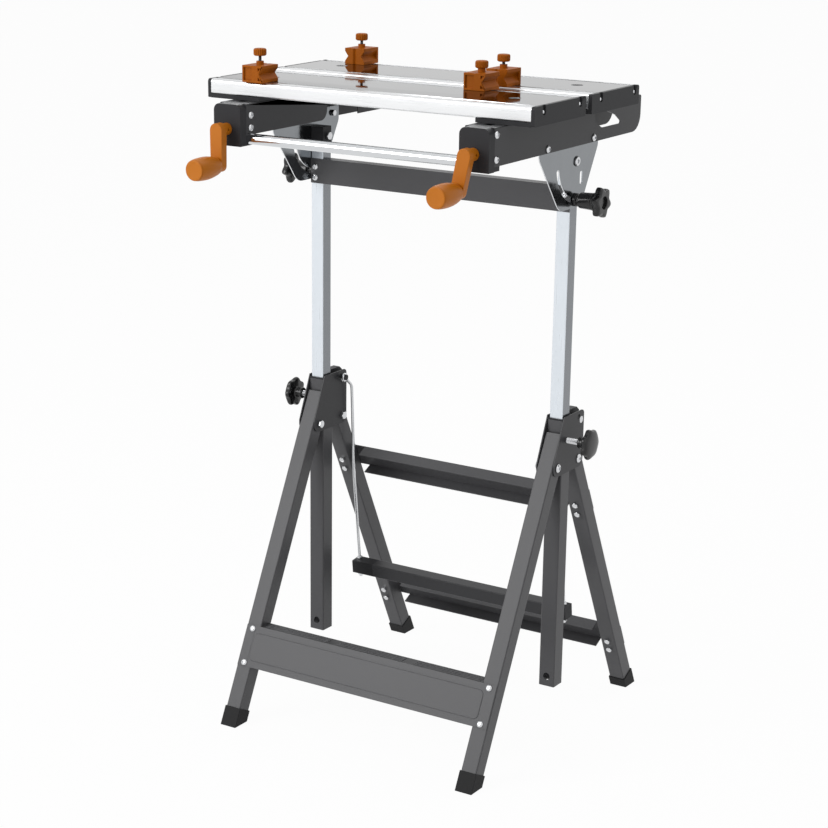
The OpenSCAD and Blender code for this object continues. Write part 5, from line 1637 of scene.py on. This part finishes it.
@dataclass
class Studio:
    """The pale floor, the white surround and the soft lamps, in metres."""

    floor_size: float = 60.0
    floor_colour: str = "#f2f2f2"
    floor_glow: float = 0.96
    ambient: float = 0.42
    lamps: tuple[Lamp, ...] = (
        Lamp("key", (-2.2, -3.6, 2.6), 2.6, 114.0),
        Lamp("top", (0.2, -0.4, 3.9), 2.8, 18.0),
        Lamp("fill", (3.4, -1.4, 2.0), 2.2, 6.0),
        Lamp("back", (0.4, 2.8, 4.6), 2.4, 34.0),
    )
    aim: tuple[float, float, float] = (0.0, 0.0, 0.7)

    def floor(self) -> None:
        """Lays the floor, which shows nearly white and keeps the bench's shadow."""
        half = self.floor_size / 2
        data = bpy.data.meshes.new("floor")
        corners = [(-half, -half, 0), (half, -half, 0), (half, half, 0), (-half, half, 0)]
        data.from_pydata(corners, [], [(0, 1, 2, 3)])
        obj = linked("floor", data)
        made = bpy.data.materials.new("painted_floor")
        tree = blank_tree(made)
        matt = add(tree, "ShaderNodeBsdfDiffuse", {"Color": linear(self.floor_colour)})
        glow = add(tree, "ShaderNodeEmission", {"Color": (1, 1, 1, 1), "Strength": 1.0})
        share = add(tree, "ShaderNodeMath", {0: self.seen(tree), 1: self.floor_glow}, operation="MULTIPLY")
        both = add(tree, "ShaderNodeMixShader", {0: share.outputs[0], 1: matt.outputs[0], 2: glow.outputs[0]})
        add(tree, "ShaderNodeOutputMaterial", {"Surface": both.outputs[0]})
        data.materials.append(made)

    @staticmethod
    def seen(tree: bpy.types.NodeTree) -> bpy.types.NodeSocket:
        """Adds a test that is 1 for what the camera, a mirror or a clear solid sees.

        Args:
            tree: The tree that it goes into.

        Returns:
            The test's result.
        """
        path = add(tree, "ShaderNodeLightPath").outputs
        sight = path["Is Camera Ray"]
        for ray in ("Is Glossy Ray", "Is Transmission Ray"):
            sight = add(tree, "ShaderNodeMath", {0: sight, 1: path[ray]}, operation="MAXIMUM").outputs[0]
        return sight

    def surround(self) -> None:
        """Makes the world white to look at and a plain soft light to stand in."""
        world = bpy.data.worlds.new("white_surround")
        tree = blank_tree(world)
        level = add(tree, "ShaderNodeMapRange", {"Value": self.seen(tree), "To Min": self.ambient,
                                                 "To Max": 1.0})
        back = add(tree, "ShaderNodeBackground", {"Color": (1, 1, 1, 1), "Strength": level.outputs["Result"]})
        add(tree, "ShaderNodeOutputWorld", {"Surface": back.outputs[0]})
        bpy.context.scene.world = world

    def build(self) -> None:
        """Builds the floor, the world and the lamps."""
        self.floor()
        self.surround()
        for lamp in self.lamps:
            data = bpy.data.lights.new(lamp.name, "AREA")
            data.size = lamp.width
            data.energy = lamp.power
            obj = linked(lamp.name, data)
            obj.location = lamp.place
            look = Vector(self.aim) - Vector(lamp.place)
            obj.rotation_euler = look.to_track_quat("-Z", "Y").to_euler()
        bpy.context.scene.view_settings.view_transform = "Standard"


def main() -> None:
    """Builds every sub-assembly in order."""
    logging.basicConfig(level=logging.INFO, format="%(name)s: %(message)s")
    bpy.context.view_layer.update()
    StudioCamera().build()
    Studio().build()
    shop = Workshop()
    for part in (Stand, Legs, ReleaseBail, UpperFrame, Table, Jaws, Cranks, Dogs, StarKnobs):
        part(shop).build()
        log.info("%s built", part.__name__)
    shop.fasteners.clear()


if __name__ == "__main__":
    main()
